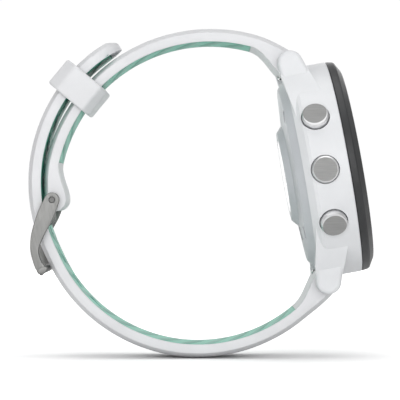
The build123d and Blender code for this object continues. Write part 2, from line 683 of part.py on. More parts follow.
def rear_cover():
    """The back with its raised sensor plinth, screw holes and charging port."""
    inside_r = FLOOR_OPEN_R - COVER_LIP_FIT
    plinth_r = BUMP_R - BUMP_WALL
    rise, run = BUMP_CHAMFER
    turn_h, turn_w = REAR_EASE
    cover = turned([
        (BUMP_X, 0),
        (BUMP_X, BUMP_R - run),
        (BUMP_X + rise, BUMP_R),
        (REAR_X - turn_h / 4 - BUMP_SKIRT, BUMP_FOOT_R),
        (REAR_X - turn_h / 4, REAR_FLAT_R - turn_w),
        (REAR_X + 3 * turn_h / 4, REAR_FLAT_R),
        (SPLIT_X, REAR_EDGE_R),
        (SPLIT_X, inside_r),
        (REAR_X + COVER_T, inside_r),
        (REAR_X + COVER_T, plinth_r),
        (SENSOR_X, plinth_r),
        (SENSOR_X, 0),
    ])
    cover += port_box(REAR_X + PORT_RIM_IN, PORT_TOP, -PORT_WALL)
    cover -= port_box(BUMP_X, PORT_TOP + OVERCUT)
    cover -= cylinder_x(WINDOW_R, BUMP_X - OVERCUT, BUMP_X + WINDOW_T)
    cover -= cylinder_x(WINDOW_R - WINDOW_LEDGE, BUMP_X - OVERCUT, SENSOR_X + OVERCUT)
    for at in screw_places():
        head_r = SCREW_HEAD_R + SCREW_FIT
        cover -= cylinder_x(head_r, BUMP_X, REAR_X + SCREW_SINK + SCREW_HEAD_H, *at)
        cover -= cylinder_x(SCREW_R + SCREW_FIT, BUMP_X, SPLIT_X + OVERCUT, *at)
    groove_r = GASKET_SECTION + GASKET_FIT
    cover -= tube_x(GASKET_R + groove_r, GASKET_R - groove_r, SPLIT_X - GASKET_SECTION, SPLIT_X + OVERCUT)
    for bar in BARS.values():
        cover -= cylinder_y(STRAP_END_R + END_CLEAR, -LUG_IN, LUG_IN, bar)
    return cover


def port_box(x0, x1, inset=0.0):
    half_y = PORT_W / 2 - inset
    half_z = PORT_H / 2 - inset
    return box_between((x0, -half_y, PORT_Z - half_z), (x1, half_y, PORT_Z + half_z))


def rear_parts():
    window = cylinder_x(WINDOW_R, BUMP_X, BUMP_X + WINDOW_T)
    window = fillet(window.edges().sort_by(Axis.X)[0], WINDOW_ROUND)
    head_x = REAR_X + SCREW_SINK
    insert_top = FLOOR_X + BOSS_H
    screws = []
    inserts = []
    for at in screw_places():
        screw = cylinder_x(SCREW_HEAD_R, head_x, head_x + SCREW_HEAD_H, *at)
        screw += cylinder_x(SCREW_R, head_x, head_x + SCREW_L, *at)
        socket = Plane(origin=(head_x, at[0], at[1]), z_dir=(1, 0, 0)) * RegularPolygon(HEX_R, 6)
        screws.append(screw - extrude(socket, HEX_DEPTH))
        insert = cylinder_x(INSERT_R, SPLIT_X + INSERT_INSET, insert_top, *at)
        thread = cylinder_x(SCREW_R + THREAD_FIT, SPLIT_X - OVERCUT, insert_top + OVERCUT, *at)
        inserts.append(insert - thread)
    gasket = tube_x(GASKET_R + GASKET_SECTION, GASKET_R - GASKET_SECTION, SPLIT_X - GASKET_SECTION, SPLIT_X)
    socket_x = REAR_X + PORT_DEPTH
    socket = port_box(socket_x, PORT_TOP)
    pins = []
    for k in range(CONTACTS):
        y = (k - (CONTACTS - 1) / 2) * PIN_PITCH
        socket -= cylinder_x(CONTACT_R, socket_x - OVERCUT, PORT_TOP + OVERCUT, y, PORT_Z)
        pin = cylinder_x(CONTACT_R, socket_x - CONTACT_PROUD, PORT_TOP + CONTACT_TAIL, y, PORT_Z)
        pins.append(fillet(pin.edges().sort_by(Axis.X)[0], CONTACT_ROUND))
    board_r = BUMP_R - BUMP_WALL - SENSOR_BOARD_FIT
    sensor_board = cylinder_x(board_r, SENSOR_X, SENSOR_X + SENSOR_BOARD_T)
    emitters = []
    for k in range(6):
        height, half_y, half_z = (RECEIVER, EMITTER)[k % 2]
        y, z = polar(EMITTERS_AT_R, 30 + 60 * k)
        low = (SENSOR_X - height, y - half_y, z - half_z)
        emitters.append(box_between(low, (SENSOR_X, y + half_y, z + half_z)))
    return {
        "sensor_window": window,
        "rear_cover_screws": Compound(screws),
        "screw_inserts": Compound(inserts),
        "rear_cover_gasket": gasket,
        "charging_port_socket": socket,
        "charging_pins": Compound(pins),
        "sensor_board": sensor_board,
        "sensor_emitters": Compound(emitters),
    }


def front_parts():
    wall_top = BEZEL_X + BEZEL_WALL_H
    foot_h, foot_in, foot_out = BEZEL_FOOT
    bezel = turned([
        (BEZEL_X, SEAT_R),
        (BEZEL_X, CASE_R - foot_in),
        (BEZEL_X + foot_h, CASE_R - foot_out),
        (wall_top - BEZEL_SHOULDER, BEZEL_TOP_R),
        (wall_top + BEZEL_SHOULDER, BEZEL_TOP_R - BEZEL_SHOULDER),
        (FRONT_X - BEZEL_SHOULDER / 2, BEZEL_LIP_R + BEZEL_SHOULDER),
        (FRONT_X, BEZEL_LIP_R),
        (FRONT_X, LENS_R + LENS_FIT),
        (SEAT_X, LENS_R + LENS_FIT),
        (SEAT_X, SEAT_R),
    ])
    lens = cylinder_x(LENS_R, LENS_X, FRONT_X)
    lens = chamfer(lens.edges().sort_by(Axis.X)[-1], LENS_CHAMFER)
    gasket = tube_x(LENS_R, SEAT_R, SEAT_X, LENS_X)
    display_x = LENS_X - DISPLAY_T
    display = cylinder_x(DISPLAY_R, display_x, LENS_X)
    bracket_x = display_x - BRACKET_T
    bracket = tube_x(STACK_R, BRACKET_OPEN_R, bracket_x, display_x)
    board_top = CAVITY_STEP_X + BOARD_T
    board = cylinder_x(STACK_R, CAVITY_STEP_X, board_top)
    antenna = tube_x(STACK_R, STACK_R - ANTENNA_T, board_top, bracket_x)
    antenna -= box_between((0, -ANTENNA_GAP, -BIG), (BIG, ANTENNA_GAP, 0))
    shield_x = CAVITY_STEP_X - SHIELD_H
    shields = [
        box_between((shield_x, y0, z0), (CAVITY_STEP_X, y1, z1))
        for y0, z0, y1, z1 in SHIELDS
    ]
    battery = cylinder_x(BATTERY_R, FLOOR_X, shield_x - STACK_GAP)
    battery -= box_between((0, BATTERY_CUT_Y, -BIG), (BIG, BIG, BIG))
    motor_y = BATTERY_CUT_Y + MOTOR_GAP + MOTOR_R
    motor = Pos(FLOOR_X + MOTOR_R, motor_y, 0) * Cylinder(MOTOR_R, MOTOR_L)
    return {
        "bezel_ring": bezel,
        "lens_glass": lens,
        "lens_gasket": gasket,
        "display_module": display,
        "display_bracket": bracket,
        "main_board": board,
        "board_shields": Compound(shields),
        "gnss_antenna": antenna,
        "battery_cell": battery,
        "vibration_motor": motor,
    }


def button_parts():
    """Cap with its stem, seal and clip for each button, and the springs and switches as groups."""
    parts = {}
    springs = []
    switches = []
    well_floor = CASE_R - WELL_DEPTH
    stem_end = CAVITY_R - STEM_IN
    face_z = CASE_R + BUTTON_PROUD
    groove_r = STEM_R - CLIP_GROOVE
    cap = stood(BUTTON_R, BUTTON_SEAT, face_z)
    cap = chamfer(cap.edges().sort_by(Axis.Z)[-1], BUTTON_BEVEL, BUTTON_R - BUTTON_FACE_R)
    clip_top = CAVITY_R - CLIP_GAP
    clip_z = clip_top - CLIP_T
    stem = stood(STEM_R, stem_end, BUTTON_SEAT)
    groove = stood(CLIP_R, clip_z, clip_top) - stood(groove_r, clip_z, clip_top)
    seal_top = well_floor - SEAL_GAP
    seal = stood(SEAL_R, seal_top - SEAL_L, seal_top) - stood(STEM_R, seal_top - SEAL_L, seal_top)
    clip = groove - Pos(CLIP_R, 0, clip_z) * Box(2 * CLIP_R, 2 * groove_r, 4 * CLIP_T)
    height = BUTTON_SEAT - well_floor - SPRING_WIRE - 2 * SPRING_GAP
    path = Helix(pitch=height / SPRING_TURNS, height=height, radius=SPRING_R)
    coil = sweep(Plane(path @ 0, z_dir=path % 0) * Circle(SPRING_WIRE / 2), path)
    coil = Pos(0, 0, well_floor + SPRING_WIRE / 2 + SPRING_GAP) * coil
    switch_top = stem_end - BUTTON_TRAVEL - SWITCH_GAP
    base_top = switch_top - PLUNGER_H
    board_side = CAVITY_STEP_X - BAR_X - BUTTON_X
    half = SWITCH_SIDE / 2
    switch = box_between((-half, -half, base_top - SWITCH_T), (board_side, half, base_top))
    switch += stood(PLUNGER_R, base_top, switch_top)
    for name in BUTTONS:
        place = button_frame(name)
        parts[f"{name}_cap"] = place * (cap + stem - groove)
        parts[f"{name}_seal"] = place * seal
        parts[f"{name}_clip"] = place * clip
        springs.append(place * coil)
        switches.append(place * switch)
    parts["button_springs"] = Compound(springs)
    parts["button_switches"] = Compound(switches)
    return parts


# ---- buckle and keeper ----
def buckle_parts():
    arm_in = HALF_W + ARM_GAP
    arm_out = arm_in + ARM_T
    points = about_pin([(past, out) for past, out, _ in ARM])
    stations = [(p, half) for p, (_, _, half) in zip(points, ARM)]
    arm = chain(stations)
    frame = side_extrude(arm, arm_in, arm_out) + side_extrude(arm, -arm_out, -arm_in)
    bar_half = arm_in + END_BAR_LAP
    frame += cylinder_y(ARM[-1][2], -bar_half, bar_half, points[-1])
    frame -= cylinder_y(PIN_TIP_R + PIN_CLEAR, -BIG, BIG, PIN)

    pin_end = arm_out - PIN_SHORT
    pin = cylinder_y(PIN_R, -arm_in, arm_in, PIN) + cylinder_y(PIN_TIP_R, -pin_end, pin_end, PIN)

    run = [(p, PRONG_HALF_T) for p in about_pin(PRONG)]
    prong = chain([(PIN, PRONG_HALF_T)] + run) + Pos(*PIN) * Circle(PRONG_EYE_R)
    prong = side_extrude(prong, -PRONG_W / 2, PRONG_W / 2)
    prong -= cylinder_y(PIN_R + PIN_CLEAR, -BIG, BIG, PIN)
    return {"buckle_frame": frame, "buckle_pin": pin, "buckle_prong": prong}


def keeper():
    """The loop that holds the tail against the buckle half; it slides round that half's centre."""
    inner = UPPER_R - KEEPER_CLEAR
    far = math.dist(TAIL_C, UPPER_C)
    toward = math.degrees(math.atan2(TAIL_C[1] - UPPER_C[1], TAIL_C[0] - UPPER_C[0]))
    tail_r = WRIST_R + STRAP_T + far * math.cos(math.radians(KEEPER_AT - toward))
    outer = tail_r + KEEPER_CLEAR
    half_y = HALF_W + KEEPER_CLEAR
    middle = (inner + outer) / 2
    depth = outer - inner + 2 * KEEPER_WALL
    plane = radial_plane(UPPER_C, KEEPER_AT, middle)
    block = plane * Box(KEEPER_L, 2 * (half_y + KEEPER_WALL), depth)
    long_edges = block.edges().filter_by(Axis(plane.origin, plane.x_dir))
    block = fillet(long_edges, KEEPER_ROUND)
    void = [(0, -half_y), (0, half_y), (outer - inner, half_y), (outer - inner, -half_y)]
    return block - band(void, UPPER_C, inner, KEEPER_AT - KEEPER_REACH, KEEPER_AT + KEEPER_REACH)


def everything():
    parts = {"case_middle": case_middle(), "rear_cover": rear_cover()}
    parts |= rear_parts() | front_parts() | button_parts()
    parts |= upper_strap() | lower_strap()
    parts |= spring_bar("upper") | spring_bar("lower")
    parts |= buckle_parts() | {"strap_keeper": keeper()}
    return parts


if __name__ == "__main__":
    os.makedirs("parts", exist_ok=True)
    stance = Rot(0, -LEAN, 0)
    for node, shape in everything().items():
        export_step(stance * shape, f"parts/{node}.step")
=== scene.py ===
import json
import math

import bmesh
import bpy
from mathutils import Matrix, Vector


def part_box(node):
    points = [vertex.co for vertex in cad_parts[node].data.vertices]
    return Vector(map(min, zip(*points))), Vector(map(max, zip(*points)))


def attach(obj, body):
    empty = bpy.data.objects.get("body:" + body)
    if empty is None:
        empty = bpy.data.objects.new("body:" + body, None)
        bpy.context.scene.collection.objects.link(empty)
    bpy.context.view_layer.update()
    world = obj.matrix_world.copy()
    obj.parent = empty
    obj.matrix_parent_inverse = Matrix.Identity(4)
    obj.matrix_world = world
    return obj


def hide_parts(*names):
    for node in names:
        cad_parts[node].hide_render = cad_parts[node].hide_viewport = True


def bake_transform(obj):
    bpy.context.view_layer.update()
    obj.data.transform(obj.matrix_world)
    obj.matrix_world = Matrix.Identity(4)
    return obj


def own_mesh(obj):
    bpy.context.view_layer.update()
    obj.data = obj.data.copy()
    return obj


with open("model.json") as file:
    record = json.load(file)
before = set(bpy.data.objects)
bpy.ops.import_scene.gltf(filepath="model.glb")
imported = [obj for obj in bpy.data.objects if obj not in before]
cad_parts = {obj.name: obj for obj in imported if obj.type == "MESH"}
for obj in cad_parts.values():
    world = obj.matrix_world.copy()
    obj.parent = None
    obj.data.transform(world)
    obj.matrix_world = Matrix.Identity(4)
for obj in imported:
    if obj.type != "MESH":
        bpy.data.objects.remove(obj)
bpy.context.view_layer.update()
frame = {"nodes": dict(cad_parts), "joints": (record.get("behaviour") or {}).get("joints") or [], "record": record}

MM = 0.001
THROUGH = 60.0                # length of a cutter that goes right across the strap
PIN_CUTTER = 40.0             # and of the one for the pin's hole in the strap

# ---- sizes in millimetres, most of them the CAD model's own ----
WRIST_R = 29.6
UPPER_R = 30.2
STRAP_T = 2.8
STRAP_HALF_W = 8.0
LUG_HALF_W = 8.8
TAPER_U = 2.0                 # the strap widens towards the lugs from here
STRAP_END_R = 2.6             # the thick round end about each spring bar
EYE_R = 2.25
EYE_IN = 1.7                  # centre of the buckle eye, inward of the wrist radius
BEVEL_DROP = 1.05
CROWN_SIDE = 3.0              # from the edge of the strap to the flat of its outer face
CROWN_RISE = 0.14             # of the middle of the outer face over the edge of its flat
RIM = 0.35                    # white rim beside the liner
RECESS = 0.3                  # depth of the recess that the liner lies in
DETAIL_HALF_W = 3.6           # edges, rims and bevels shrink where the strap is narrower than this
# angles about each half's own circle: where the liners, the flare and the tail's step begin or end
LINER_FROM = 65.0
FLARE_FROM = 157.0
LOWER_LINER_TO = 299.7
STEP_AT = 195.0
STEP = 2.1
TIP_AT = 108.4
TIP_L = 6.0                   # length of the tail's rounded tip
BARE_TIP = 2.6                # white silicone ahead of the liner
SLOT_L = 3.9
SLOT_W = 2.2
SLOT_PITCH = 11.5
PRONG_W = 1.6
PIN_HOLE_R = 0.81
PRONG_EYE_R = 1.35
PRONG_CLEAR = 0.3             # between the prong and its notch
NOTCH_R = 4.5
LEVER_SLOT_R = 0.65           # slots in the strap ends for the quick-release levers
LEVER_SLOT_W = 2.9
LEVER_SLOT_Y = 3.8
BUTTON_FACE_R = 2.3
KEEPER_AT = 130.4
KEEPER_L = 6.0
KEEPER_WALL = 1.55
KEEPER_CLEAR = 0.25
KEEPER_EDGE = 0.5             # roundings of its edges, outside and inside
KEEPER_INNER_EDGE = 0.3
# its flattened corners, over the tail (1) and at the wrist (-1):
# size across the strap, size out from it, easing
KEEPER_INNER_CUTS = {1: (2.0, 0.7, 0.3), -1: (0.5, 0.5, 0.3)}
KEEPER_OUTER_CUTS = {1: (3.6, 2.4, 0.7), -1: (2.4, 1.5, 0.5)}
LENS_UNDER = 1.6              # from the lens's front down to the display


# ---- the head's own frame: u out of the display, y to 3 o'clock, w to 12 o'clock ----
def mount(name):
    return next(m for m in frame["record"]["mounts"] if m["name"] == name)


def joint_place(name):
    joint = next(j for j in frame["joints"] if j["name"] == name)
    return Vector(joint["pos_m"])


OUT = Vector(mount("lens_face")["axis"]).normalized()
ACROSS = Vector((0, 1, 0))
UP = OUT.cross(ACROSS)


def at(u, w, y=0.0):
    """A point of the head's frame, in millimetres, as a place in the scene."""
    return (OUT * u + UP * w + ACROSS * y) * MM


def in_head(place):
    return (place.dot(OUT) / MM, place.dot(UP) / MM)


def polar(radius, angle, centre=(0.0, 0.0)):
    a = math.radians(angle)
    return (centre[0] + radius * math.cos(a), centre[1] + radius * math.sin(a))


def angle_of(point, centre=(0.0, 0.0)):
    return math.degrees(math.atan2(point[1] - centre[1], point[0] - centre[0])) % 360


TOP_BAR = in_head(joint_place("top_lug_hinge"))
BOTTOM_BAR = in_head(joint_place("bottom_lug_hinge"))
UPPER_C = in_head(joint_place("keeper_slide"))
PIN = in_head(joint_place("buckle_frame_hinge"))
TAIL_C = polar(STEP, STEP_AT - 90)
PIN_AT = angle_of(PIN)
FRONT_U = in_head(Vector(mount("lens_face")["pos_m"]))[0]


def smooth(x):
    x = min(max(x, 0.0), 1.0)
    return x * x * (3 - 2 * x)


# ---- shader helpers ----
class Tree:
    """A material's or a group's nodes, added and joined by short calls."""

    def __init__(self, tree):
        self.tree = tree

    def add(self, kind, inputs=(), **settings):
        node = self.tree.nodes.new(kind)
        for key, value in settings.items():
            setattr(node, key, value)
        for key, value in dict(inputs).items():
            self.put(node.inputs[key], value)
        return node

    def put(self, socket, value):
        if isinstance(value, bpy.types.NodeSocket):
            self.tree.links.new(value, socket)
        else:
            socket.default_value = value

    def math(self, operation, *values):
        node = self.add("ShaderNodeMath", operation=operation)
        for socket, value in zip(node.inputs, values):
            self.put(socket, value)
        return node.outputs[0]

    def mix(self, factor, a, b):
        node = self.add("ShaderNodeMix", data_type="RGBA")
        for key, value in ((0, factor), (6, a), (7, b)):
            self.put(node.inputs[key], value)
        return node.outputs[2]

    def span(self, value, low, high, to_low=0.0, to_high=1.0):
        keys = {"Value": value, "From Min": low, "From Max": high, "To Min": to_low, "To Max": to_high}
        return self.add("ShaderNodeMapRange", keys).outputs[0]

    def noise(self, vector, scale, detail=3.0):
        keys = {"Vector": vector, "Scale": scale, "Detail": detail}
        return self.add("ShaderNodeTexNoise", keys).outputs[0]


def rgb(r, g, b):
    return (r, g, b, 1.0)


def new_group(name, inputs, outputs):
    group = bpy.data.node_groups.new(name, "ShaderNodeTree")
    for label, kind, value in inputs:
        socket = group.interface.new_socket(label, in_out="INPUT", socket_type=kind)
        if value is not None:
            socket.default_value = value
    for label, kind in outputs:
        group.interface.new_socket(label, in_out="OUTPUT", socket_type=kind)
    tree = Tree(group)
    return group, tree, tree.add("NodeGroupInput").outputs, tree.add("NodeGroupOutput").inputs


def make_grain_group():
    """Moulded surface: fine texture for bump, and a broad, faint change of tone and gloss."""
    group, t, given, result = new_group(
        "moulded_grain",
        [("Vector", "NodeSocketVector", None), ("Fine", "NodeSocketFloat", 9000.0),
         ("Broad", "NodeSocketFloat", 160.0)],
        [("Height", "NodeSocketFloat"), ("Tone", "NodeSocketFloat")],
    )
    fine = t.noise(given["Vector"], given["Fine"], 2.0)
    broad = t.noise(given["Vector"], given["Broad"], 4.0)
    t.put(result["Height"], fine)
    t.put(result["Tone"], t.span(broad, 0.3, 0.7))
    return group


def make_brushed_group():
    """Brushed metal: long scratches along the vector's x, as height and as a gloss mask."""
    group, t, given, result = new_group(
        "brushed_lines",
        [("Vector", "NodeSocketVector", None), ("Across", "NodeSocketFloat", 9000.0),
         ("Along", "NodeSocketFloat", 350.0)],
        [("Height", "NodeSocketFloat"), ("Mask", "NodeSocketFloat")],
    )
    parts = t.add("ShaderNodeSeparateXYZ", {"Vector": given["Vector"]}).outputs
    stretched = t.add("ShaderNodeCombineXYZ", {
        "X": t.math("MULTIPLY", parts["X"], given["Along"]),
        "Y": t.math("MULTIPLY", parts["Y"], given["Across"]),
        "Z": t.math("MULTIPLY", parts["Z"], given["Across"]),
    }).outputs[0]
    lines = t.noise(stretched, 1.0, 4.0)
    t.put(result["Height"], lines)
    t.put(result["Mask"], t.span(lines, 0.3, 0.7))
    return group


def make_wear_group():
    """Handling marks: sparse soft smudges that dull or polish a surface."""
    group, t, given, result = new_group(
        "handling_smudges",
        [("Vector", "NodeSocketVector", None), ("Scale", "NodeSocketFloat", 220.0)],
        [("Mask", "NodeSocketFloat")],
    )
    warp = t.noise(given["Vector"], given["Scale"], 5.0)
    streaks = t.noise(given["Vector"], t.math("MULTIPLY", given["Scale"], 6.0), 3.0)
    t.put(result["Mask"], t.math("MULTIPLY", t.span(warp, 0.5, 0.72), t.span(streaks, 0.3, 0.8)))
    return group


GRAIN = make_grain_group()
BRUSHED = make_brushed_group()
SMUDGES = make_wear_group()


def new_material(name, **shader):
    """A Principled material whose constants sit on its own sockets; returns it with its tree and shader."""
    material = bpy.data.materials.new(name)
    material.use_nodes = True
    t = Tree(material.node_tree)
    principled = next(n for n in t.tree.nodes if n.type == "BSDF_PRINCIPLED")
    for key, value in shader.items():
        principled.inputs[key.replace("_", " ")].default_value = value
    return material, t, principled


def place_group(t, group, vector, **values):
    node = t.add("ShaderNodeGroup", node_tree=group)
    t.put(node.inputs["Vector"], vector)
    for key, value in values.items():
        node.inputs[key].default_value = value
    return node.outputs


def object_coordinates(t):
    return t.add("ShaderNodeTexCoord").outputs["Object"]


def add_bump(t, principled, height, strength, distance):
    bump = t.add("ShaderNodeBump", {"Height": height, "Strength": strength, "Distance": distance})
    t.put(principled.inputs["Normal"], bump.outputs[0])


def moulded(name, dark, light, roughness, fine=9000.0, bump=0.05, **shader):
    """Moulded plastic or rubber in two close tones, with grain and handling marks."""
    material, t, principled = new_material(name, **shader)
    vector = object_coordinates(t)
    grain = place_group(t, GRAIN, vector, Fine=fine)
    smudge = place_group(t, SMUDGES, vector)
    t.put(principled.inputs["Base Color"], t.mix(grain["Tone"], dark, light))
    gloss = t.span(grain["Tone"], 0.0, 1.0, roughness + 0.04, roughness - 0.04)
    polish = t.math("MULTIPLY", smudge["Mask"], 0.08)
    t.put(principled.inputs["Roughness"], t.math("SUBTRACT", gloss, polish))
    add_bump(t, principled, grain["Height"], bump, 0.0001)
    return material


def brushed(name, dark, light, roughness, along=(1, 0, 0), bump=0.12, **shader):
    """Brushed metal with its lines along a direction."""
    material, t, principled = new_material(name, Metallic=1.0, **shader)
    turn = Vector(along).to_track_quat("X", "Z").to_euler()
    mapping = {"Vector": object_coordinates(t), "Rotation": turn}
    vector = t.add("ShaderNodeMapping", mapping, vector_type="TEXTURE")
    lines = place_group(t, BRUSHED, vector.outputs[0])
    smudge = place_group(t, SMUDGES, object_coordinates(t))
    t.put(principled.inputs["Base Color"], t.mix(lines["Mask"], dark, light))
    gloss = t.span(lines["Mask"], 0.0, 1.0, roughness + 0.06, roughness - 0.06)
    t.put(principled.inputs["Roughness"], t.math("ADD", gloss, t.math("MULTIPLY", smudge["Mask"], 0.1)))
    add_bump(t, principled, lines["Height"], bump, 0.00004)
    return material


def button_steel(name, centre, axis):
    """A cap with a brushed face and a polished rim, told apart by distance from the cap's own axis; the rim's
    near-white colour is partly a painted highlight.
    """
    material, t, principled = new_material(name, Metallic=1.0)
    turn = axis.to_track_quat("Z", "Y").to_euler()
    mapping = {"Vector": object_coordinates(t), "Location": centre, "Rotation": turn}
    local = t.add("ShaderNodeMapping", mapping, vector_type="TEXTURE").outputs[0]
    parts = t.add("ShaderNodeSeparateXYZ", {"Vector": local}).outputs
    reach = t.math("SQRT", t.math("ADD", t.math("POWER", parts["X"], 2.0), t.math("POWER", parts["Y"], 2.0)))
    rim = t.span(reach, (BUTTON_FACE_R - 0.05) * MM, (BUTTON_FACE_R + 0.02) * MM)
    lines = place_group(t, BRUSHED, local, Along=300.0)
    face = t.mix(lines["Mask"], rgb(0.385, 0.385, 0.382), rgb(0.42, 0.42, 0.417))
    # the rim is polished steel, and its near-white colour is partly a painted highlight for the reflection on its
    # bevel
    t.put(principled.inputs["Base Color"], t.mix(rim, face, rgb(0.80, 0.80, 0.81)))
    rough_face = t.span(lines["Mask"], 0.0, 1.0, 0.80, 0.74)
    t.put(principled.inputs["Roughness"], t.math("MULTIPLY", rough_face, t.span(rim, 0.0, 1.0, 1.0, 0.5)))
    add_bump(t, principled, lines["Height"], 0.1, 0.00004)
    return material


def liner_green():
    """The strap's green inner layer, in two close tones."""
    material, t, principled = new_material("green_silicone", Roughness=0.5)
    vector = object_coordinates(t)
    grain = place_group(t, GRAIN, vector, Fine=7000.0)
    tone = t.mix(grain["Tone"], rgb(0.085, 0.46, 0.33), rgb(0.115, 0.52, 0.38))
    t.put(principled.inputs["Base Color"], tone)
    add_bump(t, principled, grain["Height"], 0.06, 0.0001)
    return material


def glass(name, tint, roughness=0.0):
    material, t, principled = new_material(name, **{
        "Base Color": tint, "Transmission_Weight": 1.0, "IOR": 1.5,
        "Coat_Weight": 0.3, "Coat_Roughness": 0.02,
    })
    smudge = place_group(t, SMUDGES, object_coordinates(t), Scale=90.0)
    t.put(principled.inputs["Roughness"], t.math("MULTIPLY_ADD", smudge["Mask"], 0.05, roughness))
    return material


def glowing(name, colour, strength):
    """Dial print that also gives a little light of its own."""
    material, t, principled = new_material(name, Roughness=0.6, Emission_Strength=strength)
    fine = t.noise(object_coordinates(t), 14000.0, 2.0)
    shade = t.mix(t.span(fine, 0.35, 0.65), tuple(0.86 * c for c in colour[:3]) + (1.0,), colour)
    t.put(principled.inputs["Base Color"], shade)
    t.put(principled.inputs["Emission Color"], shade)
    return material


def circuit_board():
    """Solder mask with fine tracks."""
    material, t, principled = new_material("circuit_board", Roughness=0.35)
    vector = object_coordinates(t)
    tracks = t.add("ShaderNodeTexBrick", {
        "Vector": vector, "Scale": 700.0, "Mortar Size": 0.03, "Color1": rgb(0.01, 0.08, 0.035),
        "Color2": rgb(0.012, 0.10, 0.045), "Mortar": rgb(0.05, 0.25, 0.12),
    })
    t.put(principled.inputs["Base Color"], tracks.outputs["Color"])
    add_bump(t, principled, tracks.outputs["Fac"], 0.2, 0.00003)
    return material


MATERIALS = {
    "white_polymer": moulded(
        "white_polymer", rgb(0.655, 0.665, 0.68), rgb(0.70, 0.71, 0.725), 0.45, 12000.0, 0.04),
    "cover_polymer": moulded(
        "cover_polymer", rgb(0.505, 0.52, 0.545), rgb(0.55, 0.565, 0.59), 0.45, 12000.0, 0.04),
    "bezel_polymer": moulded("bezel_polymer", rgb(0.018, 0.019, 0.020), rgb(0.030, 0.031, 0.033), 0.42),
    "lens": glass("lens_glass", (0.94, 0.97, 0.97, 1.0)),
    "display": moulded("display_black", rgb(0.004, 0.004, 0.005), rgb(0.008, 0.009, 0.010), 0.3),
    "steel": brushed("steel", rgb(0.46, 0.46, 0.455), rgb(0.60, 0.60, 0.59), 0.36, UP),
    "bright_steel": brushed("bright_steel", rgb(0.62, 0.62, 0.61), rgb(0.72, 0.72, 0.71), 0.2),
    "white_silicone": moulded(
        "white_silicone", rgb(0.655, 0.66, 0.675), rgb(0.70, 0.705, 0.72), 0.55, 8000.0, 0.06),
    "green_silicone": liner_green(),
    "seal_rubber": moulded("seal_rubber", rgb(0.012, 0.012, 0.012), rgb(0.02, 0.02, 0.02), 0.7),
    "circuit": circuit_board(),
    "shield_metal": brushed("shield_metal", rgb(0.6, 0.6, 0.58), rgb(0.7, 0.7, 0.68), 0.35),
    "bracket_metal": brushed("bracket_metal", rgb(0.35, 0.36, 0.38), rgb(0.45, 0.46, 0.48), 0.4),
    "battery_wrap": moulded("battery_wrap", rgb(0.05, 0.055, 0.07), rgb(0.08, 0.085, 0.1), 0.4),
    "antenna_metal": brushed("antenna_metal", rgb(0.6, 0.42, 0.18), rgb(0.75, 0.55, 0.26), 0.3),
    "gold": brushed("gold", rgb(0.80, 0.55, 0.20), rgb(0.92, 0.68, 0.30), 0.2),
    "black_polymer": moulded("black_polymer", rgb(0.010, 0.010, 0.010), rgb(0.018, 0.018, 0.018), 0.5),
    "sensor_glass": glass("sensor_glass", (0.20, 0.20, 0.22, 1.0), 0.25),
    "emitters": glowing("emitters", rgb(0.10, 0.62, 0.24), 0.25),
    "brass_insert": brushed("brass_insert", rgb(0.55, 0.38, 0.15), rgb(0.68, 0.50, 0.22), 0.35),
    # the ribs' darker green is painted shade, for the darker patches that the ribs make along the liner
    "green_rib": moulded("green_rib", rgb(0.045, 0.31, 0.22), rgb(0.065, 0.37, 0.27), 0.5),
    "buckle_steel": brushed(
        "buckle_steel", rgb(0.205, 0.205, 0.20), rgb(0.225, 0.225, 0.22), 0.48, UP, 0.03),
    "button_seal": moulded("button_seal", rgb(0.20, 0.20, 0.205), rgb(0.24, 0.24, 0.245), 0.7),
    "pin_steel": brushed("pin_steel", rgb(0.13, 0.13, 0.128), rgb(0.17, 0.17, 0.168), 0.5),
}


def dress_frame():
    """Every CAD node takes its slot's material, but for the buckle's pin and the buttons' caps and seals."""
    slots = {part["node"]: part["material_slot"] for part in frame["record"]["subparts"]}
    for name, node in frame["nodes"].items():
        material = MATERIALS["pin_steel" if name == "buckle_pin" else slots[name]]
        if name.endswith("_button_seal"):
            material = MATERIALS["button_seal"]
        if name.endswith("_button_cap"):
            low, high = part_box(name)
            press = next(j for j in frame["joints"] if j["child"] == name[:-len("_cap")])
            outward = -Vector(press["axis"])
            material = button_steel(name + "_steel", (Vector(low) + Vector(high)) / 2, outward)
        for part_slot in node.material_slots:
            part_slot.material = material


# ---- mesh helpers ----
def mesh_piece(name, vertices, faces, material, edge_angle=40.0):
    """A piece from points and faces: doubles merged, normals outward, smooth but for its true edges."""
    mesh = bpy.data.meshes.new(name)
    mesh.from_pydata([tuple(v) for v in vertices], [], faces)
    return finish_mesh(name, mesh, material, edge_angle)


def finish_mesh(name, mesh, material, edge_angle=40.0, merge=1e-6):
    work = bmesh.new()
    work.from_mesh(mesh)
    bmesh.ops.remove_doubles(work, verts=work.verts, dist=merge)
    bmesh.ops.dissolve_degenerate(work, edges=work.edges, dist=merge)
    bmesh.ops.recalc_face_normals(work, faces=work.faces)
    for face in work.faces:
        face.smooth = True
    for edge in work.edges:
        edge.smooth = not edge.is_manifold or edge.calc_face_angle(0.0) < math.radians(edge_angle)
    work.to_mesh(mesh)
    work.free()
    mesh.materials.clear()
    mesh.materials.append(material)
    piece = bpy.data.objects.new(name, mesh)
    bpy.context.scene.collection.objects.link(piece)
    return piece


def loft(loops, closed_ends=True):
    """Points and faces through loops of equal length; an end loop may close to a line."""
    count = len(loops[0])
    vertices = [point for loop in loops for point in loop]
    faces = []
    for k in range(len(loops) - 1):
        for i in range(count):
            j = (i + 1) % count
            faces.append((k * count + i, k * count + j, (k + 1) * count + j, (k + 1) * count + i))
    if closed_ends:
        last = (len(loops) - 1) * count
        faces.append(tuple(range(count)))
        faces.append(tuple(last + i for i in range(count)))
    return vertices, faces


def plain_mesh(piece):
    """The piece's mesh with its modifiers made final."""
    depsgraph = bpy.context.evaluated_depsgraph_get()
    return bpy.data.meshes.new_from_object(piece.evaluated_get(depsgraph))


